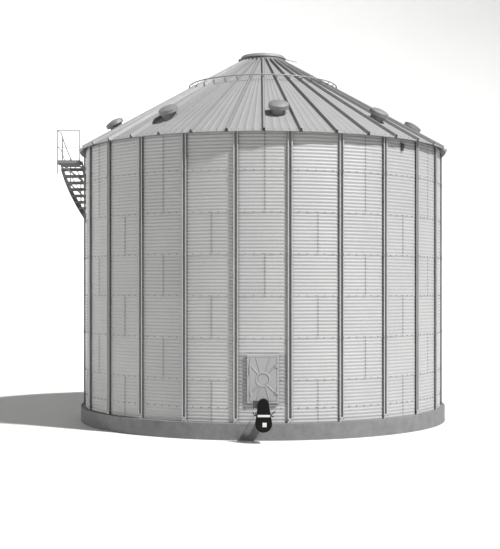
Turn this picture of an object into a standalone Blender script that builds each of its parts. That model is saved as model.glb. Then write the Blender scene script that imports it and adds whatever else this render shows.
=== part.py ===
"""Grain silo: a corrugated steel bin on a round concrete base.

The bin axis is the Z axis and the ground is z = 0. Angles are in degrees,
measured from the front (-Y) towards +X, so the walk-in door is at 0.
Lengths are metres.
"""
import math

import bmesh
import bpy
from mathutils import Matrix, Vector

GAP = 0.0003                # clearance between pieces that touch

# Concrete base
BASE_R = 5.636
BASE_Z = 0.45
BASE_SIDES = 96
BASE_BEVEL = 0.012

# Wall: rings of corrugated sheet, kept as the envelope of the corrugation
PITCH = 0.09313             # one corrugation
TIER_PITCHES = 12
FIRST_TIER_PITCHES = 11     # the next tier's foot laps over the twelfth
TIER_COUNT = 7
CREST_R = 5.4925            # distance of a wall facet from the axis, outside
SHEET_DEPTH = 0.014
WALL_SIDES = 48

# Vertical stiffeners, two folded ridges with a valley between them
STIFFENER_COUNT = 24
STIFFENER_STEP = 360.0 / STIFFENER_COUNT
STIFFENER_W = 0.159
RIDGE_H = 0.053
RIDGE_FOOT = 0.0105
RIDGE_TOP = 0.040
RIDGE_SIDE = 0.008
FLANGE_T = 0.004

# Roof
PANEL_COUNT = 36
PANEL_STEP = 360.0 / PANEL_COUNT
RIB_TURN = 0.3              # the ribs sit slightly round from the stiffeners
ROOF_R = 5.674
ROOF_Z = 8.18
ROOF_SLOPE = math.radians(30.0)
ROOF_T = 0.012
ROOF_TOP_R = 0.70
RIB_BASE_W = 0.09
RIB_TOP_W = 0.036
RIB_H = 0.082
EAVE_RING_W = 0.05

# Round vents on the roof
VENT_COUNT = 9
VENT_TURN = RIB_TURN + PANEL_STEP / 2
VENT_R = 4.54
VENT_SIDES = 16
VENT_NECK_R = 0.195
VENT_CAP_R = 0.28
VENT_NECK_H = 0.165
VENT_CAP_H = 0.175

# Peak
COLLAR_W = 0.04
COLLAR_BOTTOM = 10.98
CHEEK_Y = (0.060, 0.075)    # each hinge cheek, from its inner to its outer face
CHEEK_BACK = 0.02           # how far the cheeks reach past the pin
CHEEK_Z = (11.135, 11.15)   # feet of the cheeks' inner and outer parts
LID_Z = 11.18
LID_R = 0.715
LID_DOME = ((1.0, 0.0), (1.0, 0.012), (0.965, 0.06), (0.93, 0.095), (0.84, 0.112), (0.42, 0.14),
            (0.0, 0.155))
LID_T = 0.012
LID_SIDES = 24
LID_AXIS_X = -0.745
LID_PIN_R = 0.008
LID_PIN_Z = LID_Z + 0.006
LID_STRAP_HALF = 0.054
LID_STRAP_T = 0.008
LEVER_R = 0.014
LEVER_START = (0.94 * LID_R, 0.0, LID_Z + 0.045)
LEVER_END = (1.065, 0.0, 11.118)

# Safety ring round the roof
RING_R = 2.307
RING_Z = 10.30
RING_TUBE_R = 0.018

# Walk-in door
DOOR_W = 0.84
DOOR_BOTTOM = 0.977
DOOR_TOP = 2.257
FRAME_BORDER = 0.05
FRAME_BACK = -5.45
FRAME_FRONT = -5.54
LEAF_GAP = 0.005
LEAF_T = 0.032
LEAF_FRONT = -5.543
HINGE_X = 0.385
HINGE_Y = -5.550
HINGE_PIN_R = 0.006
PIN_SIDES = 16
HINGE_HEIGHTS = (1.265, 1.975)
LUG_REACH = (0.046, 0.058)  # each lug, above and below a hinge's middle
STRAP_HALF = 0.040
STRAP_T = 0.006
STRAP_START = 0.290
EMBOSS_H = 0.012
EMBOSS_Z = 1.61
EMBOSS_RING = (0.150, 0.200)
CREASE_W = 0.036
CREASES = ((24.0, 0.175, 0.575), (50.0, 0.30, 0.33), (130.0, 0.30, -0.33), (156.0, 0.155, -0.56))
LATCHES = ((-0.355, -0.315, 1.86, 2.04), (-0.352, -0.30, 1.19, 1.25))
LATCH_T = 0.03

# Unloading auger and its drive
AUGER_X = 0.015
AUGER_Z = 0.58
AUGER_R = 0.105
AUGER_INNER_Y = -5.30
GUARD_BACK_Y = -6.18
GUARD_T = 0.14
GUARD_BEVEL = 0.012
GUARD_LOW = (0.019, 0.509, 0.222)
GUARD_HIGH = (0.015, 1.039, 0.137)
MOTOR_R = 0.105
MOTOR_Z = 0.90
MOTOR_L = 0.26
MOTOR_END = 0.03            # length of the tapered end
STAND_HALF = 0.08
STAND_Y = (0.045, 0.145)    # behind the guard's back
TERMINAL_BOX = ((-0.261, 0.008, 0.92), (-0.041, 0.078, 1.11))
SPOUT_W = 0.20
SPOUT_Y = (-6.11, -5.87)
YOKE_Y = -6.00
YOKE_T = 0.02
YOKE_HALF_H = 0.02
YOKE_PAST_ROD = 0.03
NECK_HALF = 0.06
SPOUT_BOTTOM = 0.32
ROD_R = 0.012
ROD_X = (-0.186, 0.194)
ROD_Z = 0.722
ROD_END = 0.03              # from the guard's back to the handles
LEFT_HANDLE = ((-0.055, 0.03), (-0.075, 0.085))
RIGHT_HANDLE = ((0.125, 0.11),)
KNOB = (0.085, -0.04)
KNOB_R = 0.014

# Stair that winds down round the back from the eave
STAIR_IN = 5.70
STAIR_OUT = 6.39
STRINGER_T = 0.02
STRINGER_UP = 0.03
STRINGER_DOWN = 0.20
TREAD_T = 0.05
TREAD_OVERLAP = 0.015
TREAD_INSET = 0.06          # degrees from a tread's back edge to the riser line
RISER_COUNT = 43
LANDING_Z = 8.015
LANDING_T = 0.10
LANDING_START = -87.2
LANDING_END = -92.4
GOING_DEG = 2.4
FLIGHTS = ((0, 10), (10, 20), (20, 31), (31, 42))
POST_W = 0.028
RAIL_R = 0.014
RAIL_UP = (0.93, 1.01)      # top rail above the landing, and above the stair's pitch line
MID_RAIL_UP = (0.41, 0.48)
RAIL_START = 0.08           # treads from the landing to the end of the sloping rail
RAIL_KNEE = 0.4             # treads from the landing to where that rail starts to slope
POST_SPACING = 3            # treads between posts
POST_DOWN = 0.15
END_POST_DOWN = 0.42
BRACKET_W = 0.05
STRUT_W = 0.04
STRUT_INSET = 0.12          # from the arm's end to the strut's
SHOE_W = 0.12               # wide enough to bear on both ridges of a stiffener
SHOE_T = 0.012
STRUT_DROP = 0.62
ARM_TUCK = 0.02             # from the landing's underside down to its arms' middle
ARM_UNDER = 0.012           # how far an arm's middle is above the string boards' lower edge
BRACKET_CLEAR = 0.3         # treads kept between a bracket and a flight's end
LANDING_POST_TURN = -87.506
LANDING_BRACKET_TURNS = (-87.9, -91.9)
LANDING_ARM_FALL = 0.15     # from the deck down to the arms' ends at the wall
LANDING_ARM_KNEE = 5.80     # where that slope starts
JOIST_H = 0.11
JOIST_TURNS = (-87.35, -88.15)
JOIST_INSET = (0.01, 0.09)  # from the deck's inner and outer edges

# Small bracket under the eave
EAVE_BRACKET_TURN = 45.0
EAVE_PLATE_HALF = 0.075
EAVE_PLATE_T = 0.03
EAVE_PLATE_Z = (7.965, 8.225)
EAVE_TIE_Z = 8.19
EAVE_HOOK_HALF = 0.02
EAVE_HOOK_REACH = 0.09
EAVE_HOOK_Z = (8.02, 8.16)

STEEL = ("galvanised_steel", "B9BCBD", 0.45, 0.85)
DARK_STEEL = ("weathered_galvanised_steel", "8C9091", 0.55, 0.75)
BLACK = ("black_painted_steel", "1B1B1C", 0.45, 0.0)
GREY = ("grey_painted_cast_iron", "4B4D4F", 0.5, 0.0)
CONCRETE = ("cast_concrete", "808080", 0.9, 0.0)


def clear_scene():
    """Remove every object and mesh that the file opened with."""
    for thing in list(bpy.data.objects):
        bpy.data.objects.remove(thing, do_unlink=True)
    for mesh in list(bpy.data.meshes):
        bpy.data.meshes.remove(mesh)


def linear(channel):
    """One sRGB channel, 0 to 1, as linear light."""
    if channel <= 0.04045:
        return channel / 12.92
    return ((channel + 0.055) / 1.055) ** 2.4


def material(name, spec):
    """A plain Principled material from a (kind, hex, roughness, metallic) spec."""
    kind, colour, roughness, metallic = spec
    made = bpy.data.materials.new(f"{name}_{kind}")
    made.use_nodes = True
    shader = made.node_tree.nodes["Principled BSDF"]
    channels = [linear(int(colour[i:i + 2], 16) / 255.0) for i in (0, 2, 4)]
    shader.inputs["Base Color"].default_value = (*channels, 1.0)
    shader.inputs["Roughness"].default_value = roughness
    shader.inputs["Metallic"].default_value = metallic
    return made


def solid(name, verts, faces, spec=None, smooth=None):
    """One closed object from points and faces, with its faces turned outwards."""
    mesh = bpy.data.meshes.new(name)
    mesh.from_pydata([tuple(v) for v in verts], [], [tuple(f) for f in faces])
    work = bmesh.new()
    work.from_mesh(mesh)
    bmesh.ops.recalc_face_normals(work, faces=work.faces)
    work.to_mesh(mesh)
    work.free()
    if smooth is not None:
        mesh.shade_smooth()
        mesh.set_sharp_from_angle(angle=math.radians(smooth))
    made = bpy.data.objects.new(name, mesh)
    bpy.context.collection.objects.link(made)
    if spec is not None:
        mesh.materials.append(material(name, spec))
    return made


def polar(radius, turn, z=0.0):
    """A point at a distance from the bin axis and a turn from the front."""
    angle = math.radians(turn)
    return Vector((radius * math.sin(angle), -radius * math.cos(angle), z))


def outward(turn):
    """The unit direction away from the bin axis at a turn from the front."""
    return polar(1.0, turn)


def sideways(turn):
    """The unit direction along the wall at a turn, towards growing turns."""
    angle = math.radians(turn)
    return Vector((math.cos(angle), math.sin(angle), 0.0))


def loft(rings, close_ends=True):
    """Points and faces that join equal rings of points, one after another."""
    count = len(rings[0])
    verts = [point for ring in rings for point in ring]
    faces = []
    for level in range(len(rings) - 1):
        low = level * count
        for i in range(count):
            j = (i + 1) % count
            faces.append((low + i, low + j, low + count + j, low + count + i))
    if close_ends:
        faces.append(tuple(range(count)))
        faces.append(tuple(range(len(verts) - count, len(verts))))
    return verts, faces


def loft_closed(rings):
    """Like loft, but the last ring is joined to the first."""
    count = len(rings[0])
    verts, faces = loft(rings, close_ends=False)
    last = len(verts) - count
    for i in range(count):
        j = (i + 1) % count
        faces.append((last + i, last + j, j, i))
    return verts, faces


def box(low, high, frame=None):
    """Points and faces of a box between two corners, placed by a matrix."""
    (x0, y0, z0), (x1, y1, z1) = low, high
    bottom = [Vector((x, y, z0)) for x, y in ((x0, y0), (x1, y0), (x1, y1), (x0, y1))]
    top = [Vector((p.x, p.y, z1)) for p in bottom]
    if frame is not None:
        bottom = [frame @ p for p in bottom]
        top = [frame @ p for p in top]
    return loft([bottom, top])


def bar(start, end, width, height, up=(0.0, 0.0, 1.0)):
    """A straight bar of rectangular section between two points."""
    along = (Vector(end) - Vector(start)).normalized()
    side = along.cross(Vector(up)).normalized()
    rise = side.cross(along)
    rings = []
    for centre in (Vector(start), Vector(end)):
        corners = ((-1, -1), (1, -1), (1, 1), (-1, 1))
        rings.append([centre + side * (a * width / 2) + rise * (b * height / 2)
                      for a, b in corners])
    return loft(rings)


def tube(points, radius, sides=8, closed=False):
    """A round bar that follows a list of points, mitred where they turn."""
    points = [Vector(p) for p in points]
    rings = []
    last = len(points) - 1
    for i, point in enumerate(points):
        before = points[i - 1] if (i > 0 or closed) else point
        after = points[(i + 1) % len(points)] if (i < last or closed) else point
        into = (point - before).normalized() if point != before else None
        out = (after - point).normalized() if after != point else None
        along = ((into or out) + (out or into)).normalized()
        upright = Vector((0, 0, 1)) if abs(along.z) < 0.9 else Vector((1, 0, 0))
        side = along.cross(upright).normalized()
        rise = side.cross(along)
        stretch = 1.0 / max(along.dot(out or into), 0.3)
        flat = Vector(((out or into) - along * along.dot(out or into)))
        flat = flat.normalized() if flat.length > 1e-6 else None
        ring = []
        for k in range(sides):
            angle = 2 * math.pi * (k + 0.5) / sides
            offset = side * math.cos(angle) * radius + rise * math.sin(angle) * radius
            if flat is not None:
                offset += flat * offset.dot(flat) * (stretch - 1.0)
            ring.append(point + offset)
        rings.append(ring)
    return loft_closed(rings) if closed else loft(rings)


def lathe(profile, sides, frame=None):
    """A profile of (radius, height) points turned about Z; radius 0 is a pole."""
    verts, faces, rows = [], [], []
    for radius, height in profile:
        if radius == 0.0:
            rows.append([len(verts)])
            verts.append(Vector((0, 0, height)))
            continue
        rows.append(list(range(len(verts), len(verts) + sides)))
        for k in range(sides):
            angle = 2 * math.pi * (k + 0.5) / sides
            verts.append(Vector((radius * math.cos(angle), radius * math.sin(angle), height)))
    for row, after in zip(rows, rows[1:]):
        for k in range(sides):
            j = (k + 1) % sides
            if len(row) == len(after) == 1:
                break
            if len(row) == 1:
                faces.append((row[0], after[k], after[j]))
            elif len(after) == 1:
                faces.append((row[k], row[j], after[0]))
            else:
                faces.append((row[k], row[j], after[j], after[k]))
    if frame is not None:
        verts = [frame @ v for v in verts]
    return verts, faces


def ring_band(outer, inner, low, high, sides, turn=0.0):
    """A ring with flat facets, whose outer facets lie `outer` from the axis."""
    rings = []
    for radius, z in ((outer, low), (outer, high), (inner, high), (inner, low)):
        corner = radius / math.cos(math.pi / sides)
        step = 360.0 / sides
        rings.append([polar(corner, turn + (k + 0.5) * step, z) for k in range(sides)])
    return loft_closed(rings)


def boolean(target, shapes, operation):
    """Cut shapes from the target, or join them to it, exactly."""
    for index, (verts, faces) in enumerate(shapes):
        tool = solid(f"{target.name}_tool_{index}", verts, faces)
        change = target.modifiers.new(f"{operation.lower()}_{index}", "BOOLEAN")
        change.operation = operation
        change.solver = "EXACT"
        change.object = tool
        bpy.context.view_layer.update()
        shape = bpy.data.meshes.new_from_object(
            target.evaluated_get(bpy.context.evaluated_depsgraph_get()))
        target.modifiers.remove(change)
        old = target.data
        shape.materials.clear()
        for slot in old.materials:
            shape.materials.append(slot)
        target.data = shape
        bpy.data.meshes.remove(old)
        bpy.data.objects.remove(tool, do_unlink=True)
    tidy = bmesh.new()
    tidy.from_mesh(target.data)
    bmesh.ops.remove_doubles(tidy, verts=tidy.verts, dist=0.00001)
    tidy.to_mesh(target.data)
    tidy.free()
    target.data.name = target.name
    return target


def together(shapes):
    """Several separate closed shapes as the points and faces of one tool."""
    verts, faces = [], []
    for shape_verts, shape_faces in shapes:
        start = len(verts)
        verts.extend(shape_verts)
        faces.extend(tuple(start + i for i in face) for face in shape_faces)
    return verts, faces


def seam_height(tier):
    """The height of the seam above a tier; tier 0 gives the wall's foot."""
    if tier == 0:
        return BASE_Z
    return BASE_Z + PITCH * (FIRST_TIER_PITCHES + TIER_PITCHES * (tier - 1))


def foundation():
    """A round concrete pad with a small chamfer on its top edge."""
    profile = ((BASE_R, 0.0), (BASE_R, BASE_Z - BASE_BEVEL), (BASE_R - BASE_BEVEL, BASE_Z))
    rings = [[polar(radius, k * 360.0 / BASE_SIDES, z) for k in range(BASE_SIDES)]
             for radius, z in profile]
    verts, faces = loft(rings)
    return solid("foundation", verts, faces, CONCRETE, smooth=30)


def wall_tiers():
    """Seven rings of sheet, the two lowest cut for the door and the auger."""
    door = box((-DOOR_W / 2 - GAP, FRAME_FRONT - 0.1, DOOR_BOTTOM - GAP),
               (DOOR_W / 2 + GAP, FRAME_BACK + 0.2, DOOR_TOP + GAP))
    along_y = Matrix.Translation((AUGER_X, 0, AUGER_Z)) @ Matrix.Rotation(math.pi / 2, 4, "X")
    hole = lathe(((0.0, 5.2), (AUGER_R + GAP, 5.2), (AUGER_R + GAP, 5.8), (0.0, 5.8)), 16, along_y)
    for tier in range(1, TIER_COUNT + 1):
        verts, faces = ring_band(CREST_R, CREST_R - SHEET_DEPTH, seam_height(tier - 1) + GAP,
                                 seam_height(tier), WALL_SIDES)
        ring = solid(f"wall_tier_{tier}", verts, faces, STEEL, smooth=20)
        if tier == 1:
            boolean(ring, [door, hole], "DIFFERENCE")
        if tier == 2:
            boolean(ring, [door], "DIFFERENCE")


def stiffener_outline():
    """Half widths and heights of the folded section, from edge to edge."""
    half = STIFFENER_W / 2
    foot = half - RIDGE_FOOT
    top = foot - RIDGE_TOP
    valley = top - RIDGE_SIDE
    right = [(valley, FLANGE_T), (top, RIDGE_H), (foot, RIDGE_H), (half, FLANGE_T), (half, 0.0)]
    left = [(-x, h) for x, h in reversed(right)]
    return left + right


def stiffeners():
    """Full-height posts on the outside of the wall, one in each half bay."""
    for number in range(STIFFENER_COUNT):
        turn = STIFFENER_STEP * (number + 0.5)
        rings = []
        for z in (BASE_Z + GAP, seam_height(TIER_COUNT)):
            rings.append([outward(turn) * (CREST_R + GAP + rise) + sideways(turn) * across
                          + Vector((0, 0, z)) for across, rise in stiffener_outline()])
        verts, faces = loft(rings)
        solid(f"stiffener_{number + 1:02d}", verts, faces, STEEL)


def panel_plane(turn, along):
    """A point on a roof panel's middle line, `along` from the axis in plan."""
    edge = ROOF_R * math.cos(math.radians(PANEL_STEP / 2))
    return polar(along, turn, ROOF_Z + (edge - along) * math.tan(ROOF_SLOPE))


def rib_line(turn, radius):
    """A point on the roof sheet under a rib's middle."""
    height = panel_plane(0.0, radius * math.cos(math.radians(PANEL_STEP / 2))).z
    return polar(radius, turn, height)


def rib_normal(turn):
    """The upward direction square to the roof along a rib."""
    slope = math.cos(math.radians(PANEL_STEP / 2)) * math.tan(ROOF_SLOPE)
    return (outward(turn) * slope + Vector((0, 0, 1))).normalized()


def roof():
    """Flat panels between raised ribs, one closed sheet with the ribs folded in."""
    half_panel = math.radians(PANEL_STEP / 2)
    rings_top, rings_low = [], []
    for edge in (ROOF_R * math.cos(half_panel), ROOF_TOP_R):
        foot_z = panel_plane(0.0, edge + RIB_BASE_W / 2 * math.sin(half_panel)).z
        top, low = [], []
        for k in range(PANEL_COUNT):
            turn = RIB_TURN + k * PANEL_STEP
            middle = rib_line(turn, edge / math.cos(half_panel))
            side = sideways(turn)
            crest = middle + rib_normal(turn) * RIB_H
            feet = [middle + side * (across * RIB_BASE_W / 2) for across in (-1, 1)]
            for foot in feet:
                foot.z = foot_z
            top.append((feet[0], crest - side * RIB_TOP_W / 2, crest + side * RIB_TOP_W / 2, feet[1]))
            low.append(middle - Vector((0, 0, ROOF_T / math.cos(ROOF_SLOPE))))
        rings_top.append(top)
        rings_low.append(low)
    verts, faces = [], []
    for top, low in zip(rings_top, rings_low):
        for corners, under in zip(top, low):
            verts.extend(corners)
            verts.append(under)
    ring = PANEL_COUNT * 5
    for k in range(PANEL_COUNT):
        here = k * 5
        there = ((k + 1) % PANEL_COUNT) * 5
        for i, j in ((0, 1), (1, 2), (2, 3)):
            faces.append((here + i, here + j, ring + here + j, ring + here + i))
        faces.append((here + 3, there, ring + there, ring + here + 3))
        faces.append((here + 4, there + 4, ring + there + 4, ring + here + 4))
        for base in (0, ring):
            faces.append((base + here, base + here + 1, base + here + 2, base + here + 3))
            faces.append((base + here, base + here + 3, base + here + 4))
            faces.append((base + here + 3, base + there, base + there + 4, base + here + 4))
    return solid("roof", verts, faces, STEEL)


def eave_ring():
    """The angle on top of the wall that carries the roof, with the bracket below it."""
    under = ROOF_T / math.cos(ROOF_SLOPE) + GAP

    def roof_under(radius):
        return panel_plane(0.0, radius).z - under

    foot = seam_height(TIER_COUNT) + GAP
    rings = []
    for radius, sloped in ((CREST_R, False), (CREST_R, True),
                           (CREST_R - EAVE_RING_W, True), (CREST_R - EAVE_RING_W, False)):
        corner = radius / math.cos(math.pi / WALL_SIDES)
        z = roof_under(corner) if sloped else foot
        rings.append([polar(corner, (k + 0.5) * 360.0 / WALL_SIDES, z) for k in range(WALL_SIDES)])
    verts, faces = loft_closed(rings)
    ring = solid("eave_ring", verts, faces, DARK_STEEL, smooth=20)
    turn = EAVE_BRACKET_TURN
    frame = Matrix.Rotation(math.radians(turn), 4, "Z")
    back = -(CREST_R + GAP)
    front = back - EAVE_PLATE_T
    low, high = EAVE_PLATE_Z
    plate = box((-EAVE_PLATE_HALF, front, low), (EAVE_PLATE_HALF, back, high), frame)
    hook = box((-EAVE_HOOK_HALF, back - EAVE_HOOK_REACH, EAVE_HOOK_Z[0]),
               (EAVE_HOOK_HALF, front + 0.01, EAVE_HOOK_Z[1]), frame)
    tie = box((-EAVE_PLATE_HALF, front, EAVE_TIE_Z), (EAVE_PLATE_HALF, back + 0.02, high), frame)
    boolean(ring, [tie, plate, hook], "UNION")
    return ring


def roof_vents():
    """Round vents that stand square to the roof in the middle of every fourth panel."""
    profile = ((0.0, 0.0), (VENT_NECK_R, 0.0), (VENT_NECK_R, VENT_NECK_H),
               (VENT_CAP_R, VENT_NECK_H), (VENT_CAP_R, VENT_NECK_H + VENT_CAP_H * 0.55),
               (VENT_CAP_R * 0.72, VENT_NECK_H + VENT_CAP_H * 0.9),
               (0.0, VENT_NECK_H + VENT_CAP_H))
    for number in range(VENT_COUNT):
        turn = VENT_TURN + number * 360.0 / VENT_COUNT
        normal = outward(turn) * math.sin(ROOF_SLOPE) + Vector((0, 0, math.cos(ROOF_SLOPE)))
        seat = panel_plane(turn, VENT_R) + normal * GAP
        frame = Matrix.Translation(seat) @ normal.to_track_quat("Z", "Y").to_matrix().to_4x4()
        verts, faces = lathe(profile, VENT_SIDES, frame)
        solid(f"roof_vent_{number + 1}", verts, faces, STEEL, smooth=30)


def peak_collar():
    """The ring that the panels end on, with the cheeks and pin of the lid's hinge."""
    outer = ROOF_TOP_R - GAP
    verts, faces = ring_band(outer, outer - COLLAR_W, COLLAR_BOTTOM, LID_Z - GAP,
                             PANEL_COUNT, RIB_TURN + PANEL_STEP / 2)
    collar = solid("peak_collar", verts, faces, DARK_STEEL, smooth=20)
    cheeks = []
    for side in (-1, 1):
        y0, y1 = sorted(side * y for y in CHEEK_Y)
        back = LID_AXIS_X - CHEEK_BACK
        cheeks.append(box((back, y0, CHEEK_Z[0]), (-outer + 0.02, y1, LID_Z - GAP)))
        cheeks.append(box((back, y0, CHEEK_Z[1]), (-LID_R - 0.004, y1, LID_Z + 0.02)))
    reach = sum(CHEEK_Y) / 2
    frame = Matrix.Translation((LID_AXIS_X, -reach, LID_PIN_Z)) @ Matrix.Rotation(
        -math.pi / 2, 4, "X")
    pin = lathe(((0.0, 0.0), (LID_PIN_R, 0.0), (LID_PIN_R, 2 * reach), (0.0, 2 * reach)),
                PIN_SIDES, frame)
    boolean(collar, cheeks + [pin], "UNION")
    return collar


def peak_lid():
    """A domed sheet lid with its hinge strap on one side and its lever on the other."""
    outer = [(share * LID_R, z) for share, z in LID_DOME]
    inner = [(max(radius - LID_T * 1.6, 0.0), max(z - LID_T, 0.0)) for radius, z in outer]
    profile = [(radius, z + LID_Z) for radius, z in outer]
    under = [(radius, z + LID_Z) for radius, z in reversed(inner)][:-1]
    under.append((LID_R - LID_T * 1.6, LID_Z))
    verts, faces = lathe(profile + under, LID_SIDES)
    row = len(verts) - LID_SIDES
    faces.extend((k, (k + 1) % LID_SIDES, row + (k + 1) % LID_SIDES, row + k)
                 for k in range(LID_SIDES))
    lid = solid("peak_lid", verts, faces, STEEL, smooth=40)
    pin_top = LID_PIN_Z + LID_PIN_R + GAP
    strap = box((LID_AXIS_X - CHEEK_BACK, -LID_STRAP_HALF, pin_top),
                (-0.92 * LID_R, LID_STRAP_HALF, pin_top + LID_STRAP_T))
    lever = tube([LEVER_START, LEVER_END], LEVER_R, 8)
    boolean(lid, [strap, lever], "UNION")
    return lid


def safety_ring():
    """A pipe that rings the roof on a short stand-off at every rib."""
    half_panel = math.cos(math.radians(PANEL_STEP / 2))
    turns = [RIB_TURN + k * PANEL_STEP for k in range(PANEL_COUNT)]
    pipe = tube([polar(RING_R, turn, RING_Z) for turn in turns], RING_TUBE_R, 6, closed=True)
    ring = solid("safety_ring", *pipe, DARK_STEEL, smooth=40)
    slope = half_panel * math.tan(ROOF_SLOPE)
    sheet_z = panel_plane(0.0, RING_R * half_panel).z
    depth = (RING_Z - sheet_z) / math.sqrt(1 + slope * slope) - RIB_H
    stands = []
    for turn in turns:
        normal = rib_normal(turn)
        centre = polar(RING_R, turn, RING_Z)
        foot = centre - normal * (depth - GAP)
        stands.append(bar(foot, centre, 0.03, 0.03, up=outward(turn)))
    boolean(ring, [together(stands)], "UNION")
    return ring


def door_frame():
    """The steel frame through the wall, with two pairs of hinge lugs and their pins."""
    half = DOOR_W / 2
    outer = [(-half, DOOR_BOTTOM), (half, DOOR_BOTTOM), (half, DOOR_TOP), (-half, DOOR_TOP)]
    inner = [(x - math.copysign(FRAME_BORDER, x),
              z + (FRAME_BORDER if z == DOOR_BOTTOM else -FRAME_BORDER)) for x, z in outer]
    rings = []
    for points, y in ((outer, FRAME_BACK), (outer, FRAME_FRONT),
                      (inner, FRAME_FRONT), (inner, FRAME_BACK)):
        rings.append([Vector((x, y, z)) for x, z in points])
    verts, faces = loft_closed(rings)
    frame = solid("door_frame", verts, faces, STEEL)
    lugs = []
    for z in HINGE_HEIGHTS:
        for side in (-1, 1):
            low, high = sorted(z + side * reach for reach in LUG_REACH)
            lugs.append(box((HINGE_X - 0.004, HINGE_Y - 0.008, low),
                            (HINGE_X + 0.024, FRAME_FRONT + 0.01, high)))
        half_pin = sum(LUG_REACH) / 2
        foot = Matrix.Translation((HINGE_X, HINGE_Y, z - half_pin))
        lugs.append(lathe(((0.0, 0.0), (HINGE_PIN_R, 0.0), (HINGE_PIN_R, 2 * half_pin),
                           (0.0, 2 * half_pin)), PIN_SIDES, foot))
    boolean(frame, lugs, "UNION")
    return frame


def crease(start_turn, inner, end):
    """One pressed crease, from the round boss towards a border point."""
    angle = math.radians(start_turn)
    y = LEAF_FRONT - EMBOSS_H / 2 + 0.001
    start = (inner * math.sin(angle), y, EMBOSS_Z + inner * math.cos(angle))
    return bar(start, (end[0], y, end[1]), CREASE_W, EMBOSS_H + 0.002, up=(0.0, 1.0, 0.0))


def walk_in_door():
    """The leaf: a flat panel with a pressed ring, eight creases, straps and latches."""
    half = DOOR_W / 2 - FRAME_BORDER - LEAF_GAP
    low = DOOR_BOTTOM + FRAME_BORDER + LEAF_GAP
    high = DOOR_TOP - FRAME_BORDER - LEAF_GAP
    verts, faces = box((-half, LEAF_FRONT, low), (half, LEAF_FRONT + LEAF_T, high))
    leaf = solid("walk_in_door", verts, faces, STEEL)
    face = Matrix.Translation((0, LEAF_FRONT, EMBOSS_Z)) @ Matrix.Rotation(math.pi / 2, 4, "X")
    inner, outer = EMBOSS_RING
    rings = []
    for radius, depth in ((outer, -0.002), (outer, EMBOSS_H), (inner, EMBOSS_H), (inner, -0.002)):
        rings.append([face @ Vector((radius * math.cos(a), radius * math.sin(a), depth))
                      for a in (2 * math.pi * k / 24 for k in range(24))])
    ring = loft_closed(rings)
    middle = (inner + outer) / 2
    creases = []
    for turn, across, rise in CREASES:
        for side in (-1, 1):
            creases.append(crease(side * turn, middle, (side * across, EMBOSS_Z + rise)))
    straps = []
    inside = LEAF_FRONT + 0.002
    outside = HINGE_Y - HINGE_PIN_R - GAP
    for z in HINGE_HEIGHTS:
        for start, stop, back in ((STRAP_START, half - 0.018, inside),
                                  (half - 0.03, HINGE_X + 0.004, outside)):
            straps.append(box((start, outside - STRAP_T, z - STRAP_HALF),
                              (stop, back, z + STRAP_HALF)))
    latches = [box((x0, LEAF_FRONT - LATCH_T, z0), (x1, inside, z1)) for x0, x1, z0, z1 in LATCHES]
    boolean(leaf, [ring] + creases + straps + latches, "UNION")
    return leaf


def auger_tube():
    """The tube out of the bin, its discharge spout, and two control rods on a bracket."""
    to_y = Matrix.Translation((AUGER_X, AUGER_INNER_Y, AUGER_Z)) @ Matrix.Rotation(
        math.pi / 2, 4, "X")
    length = AUGER_INNER_Y - GUARD_BACK_Y - GAP
    verts, faces = lathe(((0.0, 0.0), (AUGER_R, 0.0), (AUGER_R, length), (0.0, length)), 16, to_y)
    pipe = solid("auger_tube", verts, faces, DARK_STEEL, smooth=40)
    half = SPOUT_W / 2
    spout = box((AUGER_X - half, SPOUT_Y[0], SPOUT_BOTTOM), (AUGER_X + half, SPOUT_Y[1], AUGER_Z))
    near, far = ROD_X
    yoke = box((near - YOKE_PAST_ROD, YOKE_Y, ROD_Z - YOKE_HALF_H),
               (far + YOKE_PAST_ROD, YOKE_Y + YOKE_T, ROD_Z + YOKE_HALF_H))
    neck = box((AUGER_X - NECK_HALF, YOKE_Y, AUGER_Z), (AUGER_X + NECK_HALF, YOKE_Y + YOKE_T, ROD_Z))
    front = GUARD_BACK_Y + ROD_END
    rods = []
    for x, handle in ((near, LEFT_HANDLE), (far, RIGHT_HANDLE)):
        bends = [(x + across, front, ROD_Z + rise) for across, rise in handle]
        rods.append(tube([(x, -(CREST_R + GAP), ROD_Z), (x, front, ROD_Z)] + bends, ROD_R, 8))
    knob_y = front + ROD_END
    knob = tube([(far, knob_y, ROD_Z), (far + KNOB[0], knob_y, ROD_Z + KNOB[1])], KNOB_R, 8)
    boolean(pipe, [spout, neck, yoke] + rods + [knob], "UNION")
    return pipe


def belt_guard():
    """A pear-shaped closed cover: two unlike circles joined by straight tangents."""
    low_x, low_z, low_r = GUARD_LOW
    high_x, high_z, high_r = GUARD_HIGH
    lean = math.asin((low_r - high_r) / (high_z - low_z))
    outline = []
    steps = 14
    for k in range(steps + 1):
        angle = lean + (math.pi - 2 * lean) * k / steps
        outline.append((high_x + high_r * math.cos(angle), high_z + high_r * math.sin(angle)))
    for k in range(steps + 5):
        angle = math.pi - lean + (math.pi + 2 * lean) * k / (steps + 4)
        outline.append((low_x + low_r * math.cos(angle), low_z + low_r * math.sin(angle)))
    centre = Vector((low_x, 0, (low_z + high_z) / 2))
    rings = []
    for y, grow in ((GUARD_BACK_Y, 1.0), (GUARD_BACK_Y - GUARD_T + GUARD_BEVEL, 1.0),
                    (GUARD_BACK_Y - GUARD_T, 0.965)):
        rings.append([centre + (Vector((x, 0, z)) - centre) * grow + Vector((0, y, 0))
                      for x, z in outline])
    verts, faces = loft(rings)
    return solid("belt_guard", verts, faces, BLACK, smooth=30)


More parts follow.
